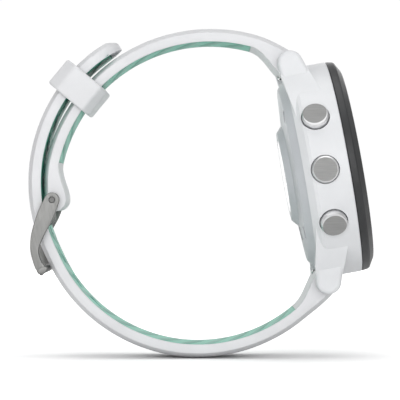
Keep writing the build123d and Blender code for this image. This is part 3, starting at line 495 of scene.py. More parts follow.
def cut(piece, cutters, edge_angle=40.0):
    """The piece less its cutters, as one plain mesh."""
    for cutter in cutters:
        step = piece.modifiers.new("cut", "BOOLEAN")
        step.operation = "DIFFERENCE"
        step.solver = "EXACT"
        step.object = cutter
    name, material = piece.name, piece.data.materials[0]
    mesh = plain_mesh(piece)
    bpy.data.objects.remove(piece)
    return finish_mesh(name, mesh, material, edge_angle, merge=2e-6)


def prism(name, outline, direction, length):
    """A solid from a closed outline of scene points, pushed along a direction."""
    push = direction.normalized() * length
    near = [p - push / 2 for p in outline]
    far = [p + push / 2 for p in outline]
    vertices, faces = loft([near, far])
    return mesh_piece(name, vertices, faces, MATERIALS["white_silicone"])


def drop(*objects):
    for gone in objects:
        bpy.data.objects.remove(gone)


# ---- straps ----
def strap_profile(half_w, thick, recess):
    """Half of a strap's section, from the middle of its inner face round to the middle of its outer face."""
    f = min(1.0, half_w / DETAIL_HALF_W)
    drop_side = min(BEVEL_DROP, 0.38 * thick)
    wall = thick - drop_side
    crown = half_w - CROWN_SIDE * f
    edge = half_w - RIM * f
    soft = min(0.22, 0.08 * thick) * f
    lip = 0.07 * f
    flat = thick - CROWN_RISE * f
    return [
        (0.0, recess), (0.5 * edge, recess), (edge - 0.4 * f, recess), (edge - 0.02 * f, recess),
        (edge, recess * 0.2), (edge + lip, 0.0), (half_w - soft, 0.0), (half_w - 0.3 * soft, 0.25 * soft),
        (half_w, soft), (half_w, 0.5 * wall), (half_w, wall - soft),
        (half_w - 0.25 * soft, wall - 0.1 * soft), (half_w - soft, wall + 0.30 * soft),
        (0.5 * (half_w + crown), wall + 0.5 * drop_side),
        (crown + 0.35 * f, flat - 0.09 * drop_side), (crown - 0.1 * f, flat - 0.01), (crown - 0.7 * f, flat),
        (0.4 * crown, thick - 0.2 * CROWN_RISE * f), (0.0, thick),
    ]


def liner_profile(half_w, thick, recess):
    """Half of the liner's section: it fills the recess, crowned a little at its edges."""
    f = min(1.0, half_w / DETAIL_HALF_W)
    edge = half_w - (RIM + 0.03) * f
    return [(0.0, 0.02), (0.6 * edge, 0.02), (edge - 0.25 * f, 0.02), (edge - 0.05 * f, 0.07), (edge, 0.16),
            (edge, recess), (0.6 * edge, recess), (0.0, recess)]


def half_width(u):
    """The strap's planform: parallel, then wider towards the lugs."""
    spread = (u - TAPER_U) / (TOP_BAR[0] - TAPER_U)
    return STRAP_HALF_W + (LUG_HALF_W - STRAP_HALF_W) * min(max(spread, 0.0), 1.0)


class Station:
    """One section of a strap: where its inner and outer faces are, how wide it is and how deep its recess."""

    def __init__(self, inner, outer, half_w, recess=0.0):
        self.inner = Vector(inner)
        self.outer = Vector(outer)
        self.half_w = half_w
        self.recess = recess

    def loop(self, profile):
        across = self.outer - self.inner
        thick = max(across.length, 0.02)
        half = profile(max(self.half_w, 0.02), thick, self.recess)
        points = half + [(-y, n) for y, n in reversed(half[1:-1])]
        return [at(*(self.inner + across * (n / thick)), y) for y, n in points]


def radial_station(centre, angle, middle, half_t, recess=0.0, half_w=None):
    inner = polar(middle - half_t, angle, centre)
    outer = polar(middle + half_t, angle, centre)
    width = half_width((inner[0] + outer[0]) / 2) if half_w is None else half_w
    return Station(inner, outer, width, recess)


def round_end(angle, about, radius, turn, half_w, steps=8):
    """Stations that close a strap's end round a pin; turn is +1 towards larger angles."""
    stations = []
    for k in range(1, steps + 1):
        lean = 90.0 * k / steps
        inner = polar(radius, angle + 180 - turn * lean, about)
        outer = polar(radius, angle + turn * lean, about)
        stations.append(Station(inner, outer, half_w))
    return stations


def upper_stations():
    """The buckle half, from its lug end to its buckle eye."""
    half = STRAP_T / 2
    plain = UPPER_R + half
    bar_at = angle_of(TOP_BAR, UPPER_C)
    bar_r = math.dist(TOP_BAR, UPPER_C)
    stations = round_end(bar_at, TOP_BAR, STRAP_END_R, -1, LUG_HALF_W)[::-1]
    for k in range(15):
        x = smooth(k / 14)
        angle = bar_at + (LINER_FROM - bar_at) * k / 14
        middle = bar_r + (plain - bar_r) * x
        stations.append(radial_station(UPPER_C, angle, middle, STRAP_END_R + (half - STRAP_END_R) * x))
    stations.append(radial_station(UPPER_C, LINER_FROM + 0.15, plain, half, RECESS))
    steps = 46
    for k in range(1, steps + 1):
        angle = LINER_FROM + (FLARE_FROM - LINER_FROM) * k / steps
        stations.append(radial_station(UPPER_C, angle, plain, half, RECESS))
    eye = polar(WRIST_R - EYE_IN, PIN_AT)
    eye_at = angle_of(eye, UPPER_C)
    eye_r = math.dist(eye, UPPER_C)
    stations.append(radial_station(UPPER_C, FLARE_FROM + 0.15, plain, half))
    for k in range(1, 13):
        x = smooth(k / 12)
        angle = FLARE_FROM + (eye_at - FLARE_FROM) * k / 12
        middle = plain + (eye_r - plain) * x
        stations.append(radial_station(UPPER_C, angle, middle, half + (EYE_R - half) * x))
    stations += round_end(eye_at, eye, EYE_R, 1, STRAP_HALF_W)
    return stations


def tail_place(travel):
    """Centre, angle and middle radius on the tail half, by distance from the step back towards the lug.

    Travel is in degrees of the wrist circle: positive on the inner arc, negative past the step."""
    if travel >= 0:
        return (0.0, 0.0), STEP_AT + travel
    step_degrees = math.degrees(STEP / WRIST_R)
    if travel > -step_degrees:
        part = -travel / step_degrees
        return (TAIL_C[0] * part, TAIL_C[1] * part), STEP_AT
    return TAIL_C, STEP_AT + travel + step_degrees


def tail_travel_of_tip():
    return TIP_AT - STEP_AT - math.degrees(STEP / WRIST_R)


def lower_stations():
    """The tail half, from its lug end round to its tip."""
    half = STRAP_T / 2
    plain = WRIST_R + half
    origin = (0.0, 0.0)
    bar_at = angle_of(BOTTOM_BAR)
    bar_r = math.dist(BOTTOM_BAR, origin)
    stations = round_end(bar_at, BOTTOM_BAR, STRAP_END_R, 1, LUG_HALF_W)[::-1]
    for k in range(15):
        x = smooth(k / 14)
        angle = bar_at + (LOWER_LINER_TO - bar_at) * k / 14
        middle = bar_r + (plain - bar_r) * x
        stations.append(radial_station(origin, angle, middle, STRAP_END_R + (half - STRAP_END_R) * x))
    start = LOWER_LINER_TO - STEP_AT
    tip = tail_travel_of_tip()
    bare = math.degrees(BARE_TIP / WRIST_R)
    stations.append(radial_station(origin, LOWER_LINER_TO - 0.15, plain, half, RECESS))
    steps = 96
    for k in range(1, steps + 1):
        travel = start + (tip + bare - start) * k / steps
        stations.append(tail_station(travel, tip, RECESS))
    for k in range(1, 15):
        travel = tip + bare * (1 - k / 14) ** 1.6
        stations.append(tail_station(travel, tip, 0.0))
    return stations


def tail_station(travel, tip, recess):
    """A station near or at the tip is narrower, on an oval, and thinner."""
    centre, angle = tail_place(travel)
    from_tip = math.radians(travel - tip) * (WRIST_R + STRAP_T / 2)
    width = STRAP_HALF_W if centre != (0.0, 0.0) else None
    if from_tip < TIP_L:
        width = STRAP_HALF_W * math.sqrt(max(1 - (1 - from_tip / TIP_L) ** 2, 0.0))
    thin = STRAP_T * (0.34 + 0.66 * math.sqrt(min(max(from_tip, 0.0) / 2.0, 1.0)))
    inner = WRIST_R + 0.12 * (STRAP_T - thin)
    return radial_station(centre, angle, inner + thin / 2, thin / 2, recess, width)


def strap_piece(name, stations):
    vertices, faces = loft([s.loop(strap_profile) for s in stations])
    return mesh_piece(name, vertices, faces, MATERIALS["white_silicone"])


def liner_piece(name, stations):
    lined = [s for s in stations if s.recess > 0]
    vertices, faces = loft([s.loop(liner_profile) for s in lined])
    return mesh_piece(name, vertices, faces, MATERIALS["green_silicone"])


def stadium(length, width, count=10):
    """A slot's outline, its long way first."""
    r = width / 2
    points = []
    for side in (1, -1):
        for k in range(count + 1):
            a = math.pi * (k / count - 0.5)
            points.append((side * ((length / 2 - r) + r * math.cos(a)), side * r * math.sin(a)))
    return points


def slot_travels():
    """Where the adjusting slots are: one where the prong crosses the tail, the rest a pitch apart."""
    crossing = PRONG_PATH[1:3]
    u = (crossing[0][0] + crossing[1][0]) / 2
    w = (crossing[0][1] + crossing[1][1]) / 2
    first = angle_of((u, w), TAIL_C) - STEP_AT - math.degrees(STEP / WRIST_R)
    return [first - k * SLOT_PITCH for k in range(6)] + [first + k * SLOT_PITCH for k in range(1, 4)]


def slot_cutters():
    cutters = []
    for k, travel in enumerate(slot_travels()):
        centre, angle = tail_place(travel)
        a = math.radians(angle)
        middle = polar(WRIST_R + STRAP_T / 2, angle, centre)
        along = (-math.sin(a), math.cos(a))
        slot = stadium(SLOT_L, SLOT_W)
        outline = [at(middle[0] + x * along[0], middle[1] + x * along[1], y) for x, y in slot]
        radial = OUT * math.cos(a) + UP * math.sin(a)
        cutters.append(prism(f"slot_cutter_{k}", outline, radial, 3 * STRAP_T * MM))
    return cutters


def disc_outline(centre, radius, count=40):
    return [at(*polar(radius, 360 * k / count, centre)) for k in range(count)]


def capsule_outline(p, rp, q, rq, count=14):
    """Outline round two circles and the sides that touch both."""
    d = math.dist(p, q)
    line = angle_of(q, p)
    tilt = math.degrees(math.acos((rp - rq) / d))
    points = []
    for k in range(count + 1):
        points.append(polar(rq, line - tilt + 2 * tilt * k / count, q))
    for k in range(count + 1):
        points.append(polar(rp, line + tilt + (360 - 2 * tilt) * k / count, p))
    return [at(*point) for point in points]


def lever_cutter(name, bar):
    """The slot in the strap's inner face that a quick-release lever slides in."""
    inward = angle_of((0.0, 0.0), bar)
    far = polar(2.4 * STRAP_END_R, inward, bar)
    outline = capsule_outline(bar, LEVER_SLOT_R, far, LEVER_SLOT_R)
    cutter = prism(name, outline, ACROSS, LEVER_SLOT_W * MM)
    cutter.data.transform(Matrix.Translation(ACROSS * LEVER_SLOT_Y * MM))
    return cutter


def make_straps():
    pin_hole = prism("pin_hole", disc_outline(PIN, PIN_HOLE_R), ACROSS, PIN_CUTTER * MM)
    away = polar(WRIST_R + NOTCH_R, PIN_AT + 12)
    notch_outline = capsule_outline(PIN, PRONG_EYE_R + PRONG_CLEAR, away, NOTCH_R)
    notch = prism("notch", notch_outline, ACROSS, (PRONG_W + 2 * PRONG_CLEAR) * MM)
    top_lever = lever_cutter("top_lever_slot", TOP_BAR)
    bottom_lever = lever_cutter("bottom_lever_slot", BOTTOM_BAR)
    slots = slot_cutters()

    stations = upper_stations()
    upper = cut(strap_piece("buckle_strap", stations), [pin_hole, notch, top_lever])
    upper_liner = liner_piece("buckle_strap_liner", stations)
    upper_ribs = make_ribs("buckle_strap_ribs", stations)
    stations = lower_stations()
    tail = cut(strap_piece("tail_strap", stations), slots + [bottom_lever])
    tail_liner = cut(liner_piece("tail_strap_liner", stations), slots)
    tail_ribs = cut(make_ribs("tail_strap_ribs", stations), slots)
    drop(pin_hole, notch, top_lever, bottom_lever, *slots)

    for piece in (upper, upper_liner, upper_ribs):
        flex(piece)
    for piece in (tail, tail_liner, tail_ribs):
        flex(piece)
    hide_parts("buckle_strap_lug_section", "buckle_strap_end_section")
    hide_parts("buckle_strap_lug_liner", "buckle_strap_end_liner")
    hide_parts("tail_strap_lug_section", "tail_strap_end_section")
    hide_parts("tail_strap_lug_liner", "tail_strap_end_liner")


def flex(piece):
    """The piece's placement, baked into its mesh."""
    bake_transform(piece)


# ---- ribs on the liner: Geometry Nodes put one bar after another along the strap ----
RIB_PITCH = 4.4
RIB_SKEW = 4.0                # how far one end of a rib lies ahead of the other
RIB_H = 0.1
RIB_SUNK = 0.03               # a rib's foot lies this far inside the liner


def rib_mesh():
    """One slanting rib, flat-topped, in the path's own frame: x along it, y across, z off the liner."""
    foot, top = RIB_PITCH * 0.25, RIB_PITCH * 0.21
    outline = [(-foot, 0.0), (-top, 1.0), (top, 1.0), (foot, 0.0)]
    reach = STRAP_HALF_W - 2 * RIM
    loops = []
    steps = 12
    for k in range(steps + 1):
        y = reach * (2 * k / steps - 1)
        fade = 0.15 if k in (0, steps) else 1.0
        shift = RIB_SKEW * y / (2 * reach)
        loops.append([Vector((x + shift, y, h * RIB_H * fade - RIB_SUNK)) * MM for x, h in outline])
    vertices, faces = loft(loops)
    return mesh_piece("rib", vertices, faces, MATERIALS["green_silicone"])


def ribs_tree(material):
    """Named inputs: the rib, the spacing along the path and the size of a rib."""
    tree = bpy.data.node_groups.new("ribs_along_strap", "GeometryNodeTree")
    face = tree.interface
    face.new_socket("Geometry", in_out="INPUT", socket_type="NodeSocketGeometry")
    rib = face.new_socket("Rib", in_out="INPUT", socket_type="NodeSocketObject")
    pitch = face.new_socket("Pitch", in_out="INPUT", socket_type="NodeSocketFloat")
    size = face.new_socket("Size", in_out="INPUT", socket_type="NodeSocketFloat")
    face.new_socket("Geometry", in_out="OUTPUT", socket_type="NodeSocketGeometry")
    t = Tree(tree)
    given = t.add("NodeGroupInput").outputs
    spacing = {"Curve": given["Geometry"], "Length": given["Pitch"]}
    points = t.add("GeometryNodeCurveToPoints", spacing, mode="LENGTH")
    source = t.add("GeometryNodeObjectInfo", {"Object": given["Rib"]}, transform_space="ORIGINAL")
    across = {0: points.outputs["Tangent"], 1: tuple(ACROSS)}
    inward = t.add("ShaderNodeVectorMath", across, operation="CROSS_PRODUCT")
    axes = {"Primary Axis": inward.outputs[0], "Secondary Axis": points.outputs["Tangent"]}
    turned = t.add("FunctionNodeAxesToRotation", axes, primary_axis="Z", secondary_axis="X")
    placed = t.add("GeometryNodeInstanceOnPoints", {
        "Points": points.outputs["Points"], "Instance": source.outputs["Geometry"],
        "Rotation": turned.outputs[0], "Scale": given["Size"],
    })
    real = t.add("GeometryNodeRealizeInstances", {"Geometry": placed.outputs[0]})
    dressed = t.add("GeometryNodeSetMaterial", {"Geometry": real.outputs[0], "Material": material})
    t.add("NodeGroupOutput", {"Geometry": dressed.outputs[0]})
    return tree, {"rib": rib.identifier, "pitch": pitch.identifier, "size": size.identifier}


def make_ribs(name, stations):
    """Raised slanting ribs all along a lined stretch, as one plain mesh."""
    lined = [s for s in stations if s.recess > 0 and s.half_w > 0.9 * STRAP_HALF_W]
    path = [at(*s.inner) for s in lined[3:-2]]
    if angle_of(lined[0].inner) > angle_of(lined[-1].inner):
        path.reverse()
    curve = bpy.data.curves.new(name + "_path", "CURVE")
    curve.dimensions = "3D"
    curve.twist_mode = "Z_UP"
    spline = curve.splines.new("POLY")
    spline.points.add(len(path) - 1)
    for point, place in zip(spline.points, path):
        point.co = (*place, 1.0)
    holder = bpy.data.objects.new(name + "_path", curve)
    bpy.context.scene.collection.objects.link(holder)
    rib = rib_mesh()
    # the ribs take the darker green, which is painted shade along the liner
    tree, inputs = ribs_tree(MATERIALS["green_rib"])
    step = holder.modifiers.new("ribs", "NODES")
    step.node_group = tree
    step[inputs["rib"]] = rib
    step[inputs["pitch"]] = RIB_PITCH * MM
    step[inputs["size"]] = 1.0
    mesh = plain_mesh(holder)
    drop(holder, rib)
    return finish_mesh(name, mesh, MATERIALS["green_rib"])


# ---- keeper ----
def keeper_outlines():
    """The loop's inner and outer outlines round the two straps: rectangles with flattened corners."""
    inner_n = UPPER_R - KEEPER_CLEAR
    far = math.dist(TAIL_C, UPPER_C)
    toward = angle_of(TAIL_C, UPPER_C)
    outer_n = WRIST_R + STRAP_T + far * math.cos(math.radians(KEEPER_AT - toward)) + KEEPER_CLEAR
    half_y = STRAP_HALF_W + KEEPER_CLEAR
    middle = (inner_n + outer_n) / 2
    half_n = (outer_n - inner_n) / 2
    rings = []
    for wall, cuts in ((0.0, KEEPER_INNER_CUTS), (KEEPER_WALL, KEEPER_OUTER_CUTS)):
        ring = []
        for sy, sn in ((1, 1), (-1, 1), (-1, -1), (1, -1)):
            wide, deep = half_y + wall, half_n + wall
            cut_y, cut_n, soft = cuts[sn]
            corners = [(wide, deep - cut_n), (wide - cut_y, deep)]
            if sy * sn < 0:
                corners.reverse()
            for k, corner in enumerate(corners):
                before = corners[1 - k] if k else (wide, 0.0) if sy * sn > 0 else (0.0, deep)
                after = corners[1 - k] if not k else (0.0, deep) if sy * sn > 0 else (wide, 0.0)
                ring += eased(before, corner, after, soft, sy, sn, middle)
        rings.append(ring)
    return rings


def eased(before, corner, after, soft, sy, sn, middle):
    """A corner of the keeper's outline as a short curve, in (distance out, y)."""
    p, q, r = (Vector(point) for point in (before, corner, after))
    start, end = q + (p - q).normalized() * soft, q + (r - q).normalized() * soft
    run = []
    for k in range(5):
        x = k / 4
        point = start * (1 - x) ** 2 + q * 2 * x * (1 - x) + end * x ** 2
        run.append((middle + sn * point.y, sy * point.x))
    return run


def make_keeper():
    inner, outer = keeper_outlines()
    half = KEEPER_L / 2
    section = []
    for sx, st, first in ((1, 1, 0), (-1, 1, 90), (-1, 0, 180), (1, 0, 270)):
        r = KEEPER_EDGE if st else KEEPER_INNER_EDGE
        cx = sx * (half - r)
        ct = (KEEPER_WALL - r) if st else r
        for k in range(6):
            a = math.radians(first + 90 * k / 5)
            section.append((cx + r * math.cos(a), ct + r * math.sin(a)))
    a = math.radians(KEEPER_AT)
    radial = (math.cos(a), math.sin(a))
    tangent = (-math.sin(a), math.cos(a))
    loops = []
    for (n0, y0), (n1, y1) in zip(inner, outer):
        loop = []
        for x, depth in section:
            share = depth / KEEPER_WALL
            n = n0 + (n1 - n0) * share
            y = y0 + (y1 - y0) * share
            u = UPPER_C[0] + n * radial[0] + x * tangent[0]
            w = UPPER_C[1] + n * radial[1] + x * tangent[1]
            loop.append(at(u, w, y))
        loops.append(loop)
    vertices, faces = loft(loops + [loops[0]], closed_ends=False)
    keeper = mesh_piece("keeper_loop", vertices, faces, MATERIALS["white_silicone"], 60.0)
    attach(keeper, "keeper")
    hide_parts("strap_keeper")


# ---- buckle ----
# the side arms' run: angle past the pin, radius beyond the wrist radius, half thickness
ARM = (
    (0.0, -1.3, 1.45),
    (5.6, 0.25, 1.6),
    (11.9, 2.55, 1.2),
    (16.5, 3.95, 0.8),
    (20.6, 4.3, 0.78),
    (23.3, 4.2, 0.95),
)
END_BAR = (23.6, 4.05, 1.1)   # the bar at the arms' far end: angle, radius and half its depth, as above
END_BAR_HALF = 0.72           # half the end bar, along the strap
END_BAR_PROUD = 0.05
END_BAR_EDGE = 0.25
ARM_IN = 8.25                 # faces of the arms, across the strap
ARM_OUT = 9.75
ARM_EDGE = 0.32
ARM_PIN_HOLE_R = 0.56
PRONG_BENDS = ((3.6, -0.55), (8.2, -0.35), (11.7, 3.8), (24.4, 5.25))   # angle and radius, as above
PRONG_PATH = [polar(WRIST_R + out, PIN_AT + past) for past, out in PRONG_BENDS]
PRONG_HALF_T = 0.38


def curve_through(points, count):
    """A smooth run through points of any dimension, by Catmull and Rom's rule."""
    ends = [points[0]] + list(points) + [points[-1]]
    run = []
    for k in range(1, len(ends) - 2):
        p0, p1, p2, p3 = (Vector(ends[k + d]) for d in (-1, 0, 1, 2))
        for i in range(count):
            x = i / count
            bend = (2 * p0 - 5 * p1 + 4 * p2 - p3) + x * (3 * (p1 - p2) + p3 - p0)
            run.append(p1 + 0.5 * x * ((p2 - p0) + x * bend))
    run.append(Vector(points[-1]))
    return run


def plate_outline(run, half_thick, end_steps=10):
    """The outline of a flat strip along a run, with round ends."""
    left, right = [], []
    for k, (u, w) in enumerate(run):
        a, b = run[max(k - 1, 0)], run[min(k + 1, len(run) - 1)]
        d = Vector((b[0] - a[0], b[1] - a[1])).normalized()
        side = Vector((-d.y, d.x)) * half_thick[k]
        left.append(Vector((u, w)) + side)
        right.append(Vector((u, w)) - side)
    outline = list(right)
    for end, sign in ((len(run) - 1, 1), (0, -1)):
        a, b = run[max(end - 1, 0)], run[min(end + 1, len(run) - 1)]
        heading = math.degrees(math.atan2(b[1] - a[1], b[0] - a[0])) + (0 if sign == 1 else 180)
        for k in range(1, end_steps):
            outline.append(Vector(polar(half_thick[end], heading - 90 + 180 * k / end_steps, run[end])))
        if sign == 1:
            outline += left[::-1]
    return outline


def bevelled_plate(name, outline, y0, y1, bevel, material, hole=None):
    """A flat piece in the strap's side plane, its edges rounded."""
    solid = [at(p[0], p[1], (y0 + y1) / 2) for p in outline]
    piece = prism(name, solid, ACROSS, (y1 - y0) * MM)
    if hole:
        cutter = prism(name + "_hole", disc_outline(*hole), ACROSS, THROUGH * MM)
        piece = cut(piece, [cutter])
        drop(cutter)
    step = piece.modifiers.new("edges", "BEVEL")
    step.width = bevel * MM
    step.segments = 4
    step.limit_method = "ANGLE"
    step.angle_limit = math.radians(50)
    mesh = plain_mesh(piece)
    bpy.data.objects.remove(piece)
    return finish_mesh(name, mesh, material, 60.0)


def join(name, pieces, material):
    """Several meshes of one body as one piece."""
    work = bmesh.new()
    for piece in pieces:
        work.from_mesh(piece.data)
    mesh = bpy.data.meshes.new(name)
    work.to_mesh(mesh)
    work.free()
    drop(*pieces)
    return finish_mesh(name, mesh, material, 60.0)


def end_bar(name, material):
    """The bar across the frame's free end: an oval, its long way towards the strap."""
    past, out, half = END_BAR
    middle = Vector(polar(WRIST_R + out, PIN_AT + past))
    a = math.radians(PIN_AT + past)
    radial, along = Vector((math.cos(a), math.sin(a))), Vector((-math.sin(a), math.cos(a)))
    outline = []
    for k in range(36):
        b = 2 * math.pi * k / 36
        outline.append(middle + radial * half * math.cos(b) + along * END_BAR_HALF * math.sin(b))
    reach = ARM_OUT + END_BAR_PROUD
    return bevelled_plate(name, outline, -reach, reach, END_BAR_EDGE, material)


def make_buckle():
    steel = MATERIALS["buckle_steel"]
    points = [polar(WRIST_R + out, PIN_AT + past) for past, out, _ in ARM]
    run = curve_through([(u, w, half) for (u, w), (_, _, half) in zip(points, ARM)], 8)
    outline = plate_outline([(p.x, p.y) for p in run], [p.z for p in run])
    hole = (PIN, ARM_PIN_HOLE_R)
    arms = [
        bevelled_plate("arm_near", outline, -ARM_OUT, -ARM_IN, ARM_EDGE, steel, hole),
        bevelled_plate("arm_far", outline, ARM_IN, ARM_OUT, ARM_EDGE, steel, hole),
        end_bar("end_bar", steel),
    ]
    buckle = join("buckle", arms, steel)
    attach(buckle, "frame")
    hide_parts("buckle_frame")

    path = curve_through([PIN] + PRONG_PATH, 6)
    path = [(p.x, p.y) for p in path]
    outline = plate_outline(path, [PRONG_HALF_T] * len(path))
    half = PRONG_W / 2
    cutter = prism("prong_hole", disc_outline(PIN, PIN_HOLE_R), ACROSS, THROUGH * MM)
    blade = cut(bevelled_plate("blade", outline, -half, half, 0.2, steel), [cutter])
    drop(cutter)
    eye = bevelled_plate("eye", [in_head(p) for p in disc_outline(PIN, PRONG_EYE_R)], -half, half, 0.15,
                         steel, (PIN, PIN_HOLE_R))
    prong = join("prong_tongue", [blade, eye], steel)
    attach(prong, "prong")
    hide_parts("buckle_prong")


# ---- springs: each a piece of its own, in place of its CAD node ----
def separate_solids(node):
    """The solids of a CAD node, each as a mesh of its own, from a merged copy."""
    work = bmesh.new()
    work.from_mesh(frame["nodes"][node].data)
    bmesh.ops.remove_doubles(work, verts=work.verts, dist=1e-7)
    taken = set()
    meshes = []
    for first in work.verts:
        if first in taken:
            continue
        solid = {first}
        reached = solid
        while reached:
            reached = {e.other_vert(v) for v in reached for e in v.link_edges} - solid
            solid = solid | reached
        taken |= solid
        points = [v for v in work.verts if v in solid]
        order = {v: k for k, v in enumerate(points)}
        faces = [[order[v] for v in f.verts] for f in work.faces if f.verts[0] in solid]
        mesh = bpy.data.meshes.new(node)
        mesh.from_pydata([v.co for v in points], [], faces)
        meshes.append(mesh)
    work.free()
    return meshes


def squeezed_spring(name, mesh, body, node):
    """A spring as a piece of its own, attached to a body, in place of its CAD node."""
    spring = finish_mesh(name, mesh, MATERIALS["steel"], 60.0, 1e-7)
    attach(spring, body)
    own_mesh(spring)
    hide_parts(node)


def make_springs():
    presses = [j for j in frame["joints"] if j["name"].endswith("_button_press")]
    for mesh in separate_solids("button_springs"):
        middle = sum((v.co for v in mesh.vertices), Vector()) / len(mesh.vertices)
        caps = {j["name"]: Vector(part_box(j["child"] + "_cap")[0]) for j in presses}
        press = min(presses, key=lambda j: (caps[j["name"]] - middle).length)
        squeezed_spring(press["child"] + "_spring", mesh, "head", "button_springs")
    for end, body in (("top", "buckle_strap_root"), ("bottom", "tail_strap_root")):
        press = next(j for j in frame["joints"] if j["name"] == end + "_quick_release")
        node = end + "_spring_bar_spring"
        for mesh in separate_solids(node):
            squeezed_spring(end + "_bar_spring", mesh, body, node)


# ---- lens: a disc with an eased edge, a hair above the display ----
LENS_R = 18.3
LENS_EASE = 0.45              # rounding of its front edge
LENS_AIR = 0.12               # between it and the display, where the print is
LENS_BACK_CUT = 0.1


def make_lens():
    low = FRONT_U - LENS_UNDER + LENS_AIR
    outline = [(low, 0.0), (low, LENS_R - LENS_BACK_CUT), (low + LENS_BACK_CUT, LENS_R)]
    for k in range(9):
        a = math.radians(90 * k / 8)
        outline.append((FRONT_U - LENS_EASE * (1 - math.sin(a)), LENS_R - LENS_EASE * (1 - math.cos(a))))
    outline.append((FRONT_U, 0.0))
    turns = 120
    loops = []
    for k in range(turns + 1):
        b = 2 * math.pi * k / turns
        loops.append([at(u, r * math.cos(b), r * math.sin(b)) for u, r in outline])
    vertices, faces = loft(loops, closed_ends=False)
    lens = mesh_piece("lens_disc", vertices, faces, MATERIALS["lens"], 60.0)
    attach(lens, "head")
    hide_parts("lens_glass")


# ---- dial: printed marks just under the glass ----
PRINT_U = FRONT_U - LENS_UNDER + 0.04   # the print's own middle, just over the display
PRINT_T = 0.04
NUMBER_RING_R = 13.2
GOAL_R = 9.6
GOAL_W = 0.55
GOAL_END = 140                # clock angle of the goal track's two ends
GOAL_DONE = 42


def on_dial(radius, clock_angle, lift=0.0):
    """A point of the dial; the clock angle runs from 12 o'clock towards 3 o'clock."""
    a = math.radians(clock_angle)
    return at(PRINT_U + lift, radius * math.cos(a), radius * math.sin(a))


DIAL_TURN = Matrix((
    (ACROSS.x, UP.x, OUT.x, 0.0),
    (ACROSS.y, UP.y, OUT.y, 0.0),
    (ACROSS.z, UP.z, OUT.z, 0.0),
    (0.0, 0.0, 0.0, 1.0),
))


def dial_text(name, words, size, right, up, material):
    """Raised characters, centred at a place of the dial."""
    text = bpy.data.curves.new(name, "FONT")
    text.body = words
    text.size = size * MM
    text.extrude = PRINT_T / 2 * MM
    text.align_x = "CENTER"
    text.align_y = "CENTER"
    holder = bpy.data.objects.new(name, text)
    bpy.context.scene.collection.objects.link(holder)
    mesh = plain_mesh(holder)
    drop(holder)
    mesh.transform(Matrix.Translation(at(PRINT_U, up, right)) @ DIAL_TURN)
    return finish_mesh(name, mesh, material, 30.0, 1e-7)


def marks_tree(material):
    """Named inputs: radius of the ring, how many marks, and one mark's length, width and height."""
    tree = bpy.data.node_groups.new("marks_round_dial", "GeometryNodeTree")
    face = tree.interface
    face.new_socket("Geometry", in_out="INPUT", socket_type="NodeSocketGeometry")
    names = ("Radius", "Length", "Width", "Height")
    sockets = {n: face.new_socket(n, in_out="INPUT", socket_type="NodeSocketFloat") for n in names}
    sockets["Count"] = face.new_socket("Count", in_out="INPUT", socket_type="NodeSocketInt")
    face.new_socket("Geometry", in_out="OUTPUT", socket_type="NodeSocketGeometry")
    t = Tree(tree)
    given = t.add("NodeGroupInput").outputs
    ring = t.add("GeometryNodeCurvePrimitiveCircle", {"Radius": given["Radius"]})
    spacing = {"Curve": ring.outputs["Curve"], "Count": given["Count"]}
    points = t.add("GeometryNodeCurveToPoints", spacing, mode="COUNT")
    size = t.add("ShaderNodeCombineXYZ", {"X": given["Width"], "Y": given["Length"], "Z": given["Height"]})
    block = t.add("GeometryNodeMeshCube", {"Size": size.outputs[0]})
    index = t.add("GeometryNodeInputIndex").outputs[0]
    share = t.math("DIVIDE", index, given["Count"])
    angle = t.math("SUBTRACT", t.math("MULTIPLY", share, 2 * math.pi), math.pi / 2)
    turn = t.add("ShaderNodeCombineXYZ", {"Z": angle})
    placed = t.add("GeometryNodeInstanceOnPoints", {
        "Points": points.outputs["Points"], "Instance": block.outputs["Mesh"], "Rotation": turn.outputs[0],
    })
    real = t.add("GeometryNodeRealizeInstances", {"Geometry": placed.outputs[0]})
    dressed = t.add("GeometryNodeSetMaterial", {"Geometry": real.outputs[0], "Material": material})
    t.add("NodeGroupOutput", {"Geometry": dressed.outputs[0]})
    return tree, {n: s.identifier for n, s in sockets.items()}


def dial_marks(name, radius, count, length, width, material):
    holder = bpy.data.objects.new(name, bpy.data.meshes.new(name))
    bpy.context.scene.collection.objects.link(holder)
    tree, inputs = marks_tree(material)
    step = holder.modifiers.new("marks", "NODES")
    step.node_group = tree
    for key, value in (("Radius", radius), ("Length", length), ("Width", width), ("Height", PRINT_T)):
        step[inputs[key]] = value * MM
    step[inputs["Count"]] = count
    mesh = plain_mesh(holder)
    drop(holder)
    mesh.transform(Matrix.Translation(at(PRINT_U, 0.0)) @ DIAL_TURN)
    return finish_mesh(name, mesh, material, 30.0, 1e-7)


def arc_band(name, radius, width, start, end, material):
    """A thin arc on the dial, between two clock angles."""
    count = max(int((end - start) / 3), 4)
    loops = []
    for k in range(count + 1):
        a = start + (end - start) * k / count
        inner, outer = radius - width / 2, radius + width / 2
        corners = ((inner, -1), (outer, -1), (outer, 1), (inner, 1))
        loops.append([on_dial(r, a, side * PRINT_T / 2) for r, side in corners])
    vertices, faces = loft(loops)
    return mesh_piece(name, vertices, faces, material, 30.0)


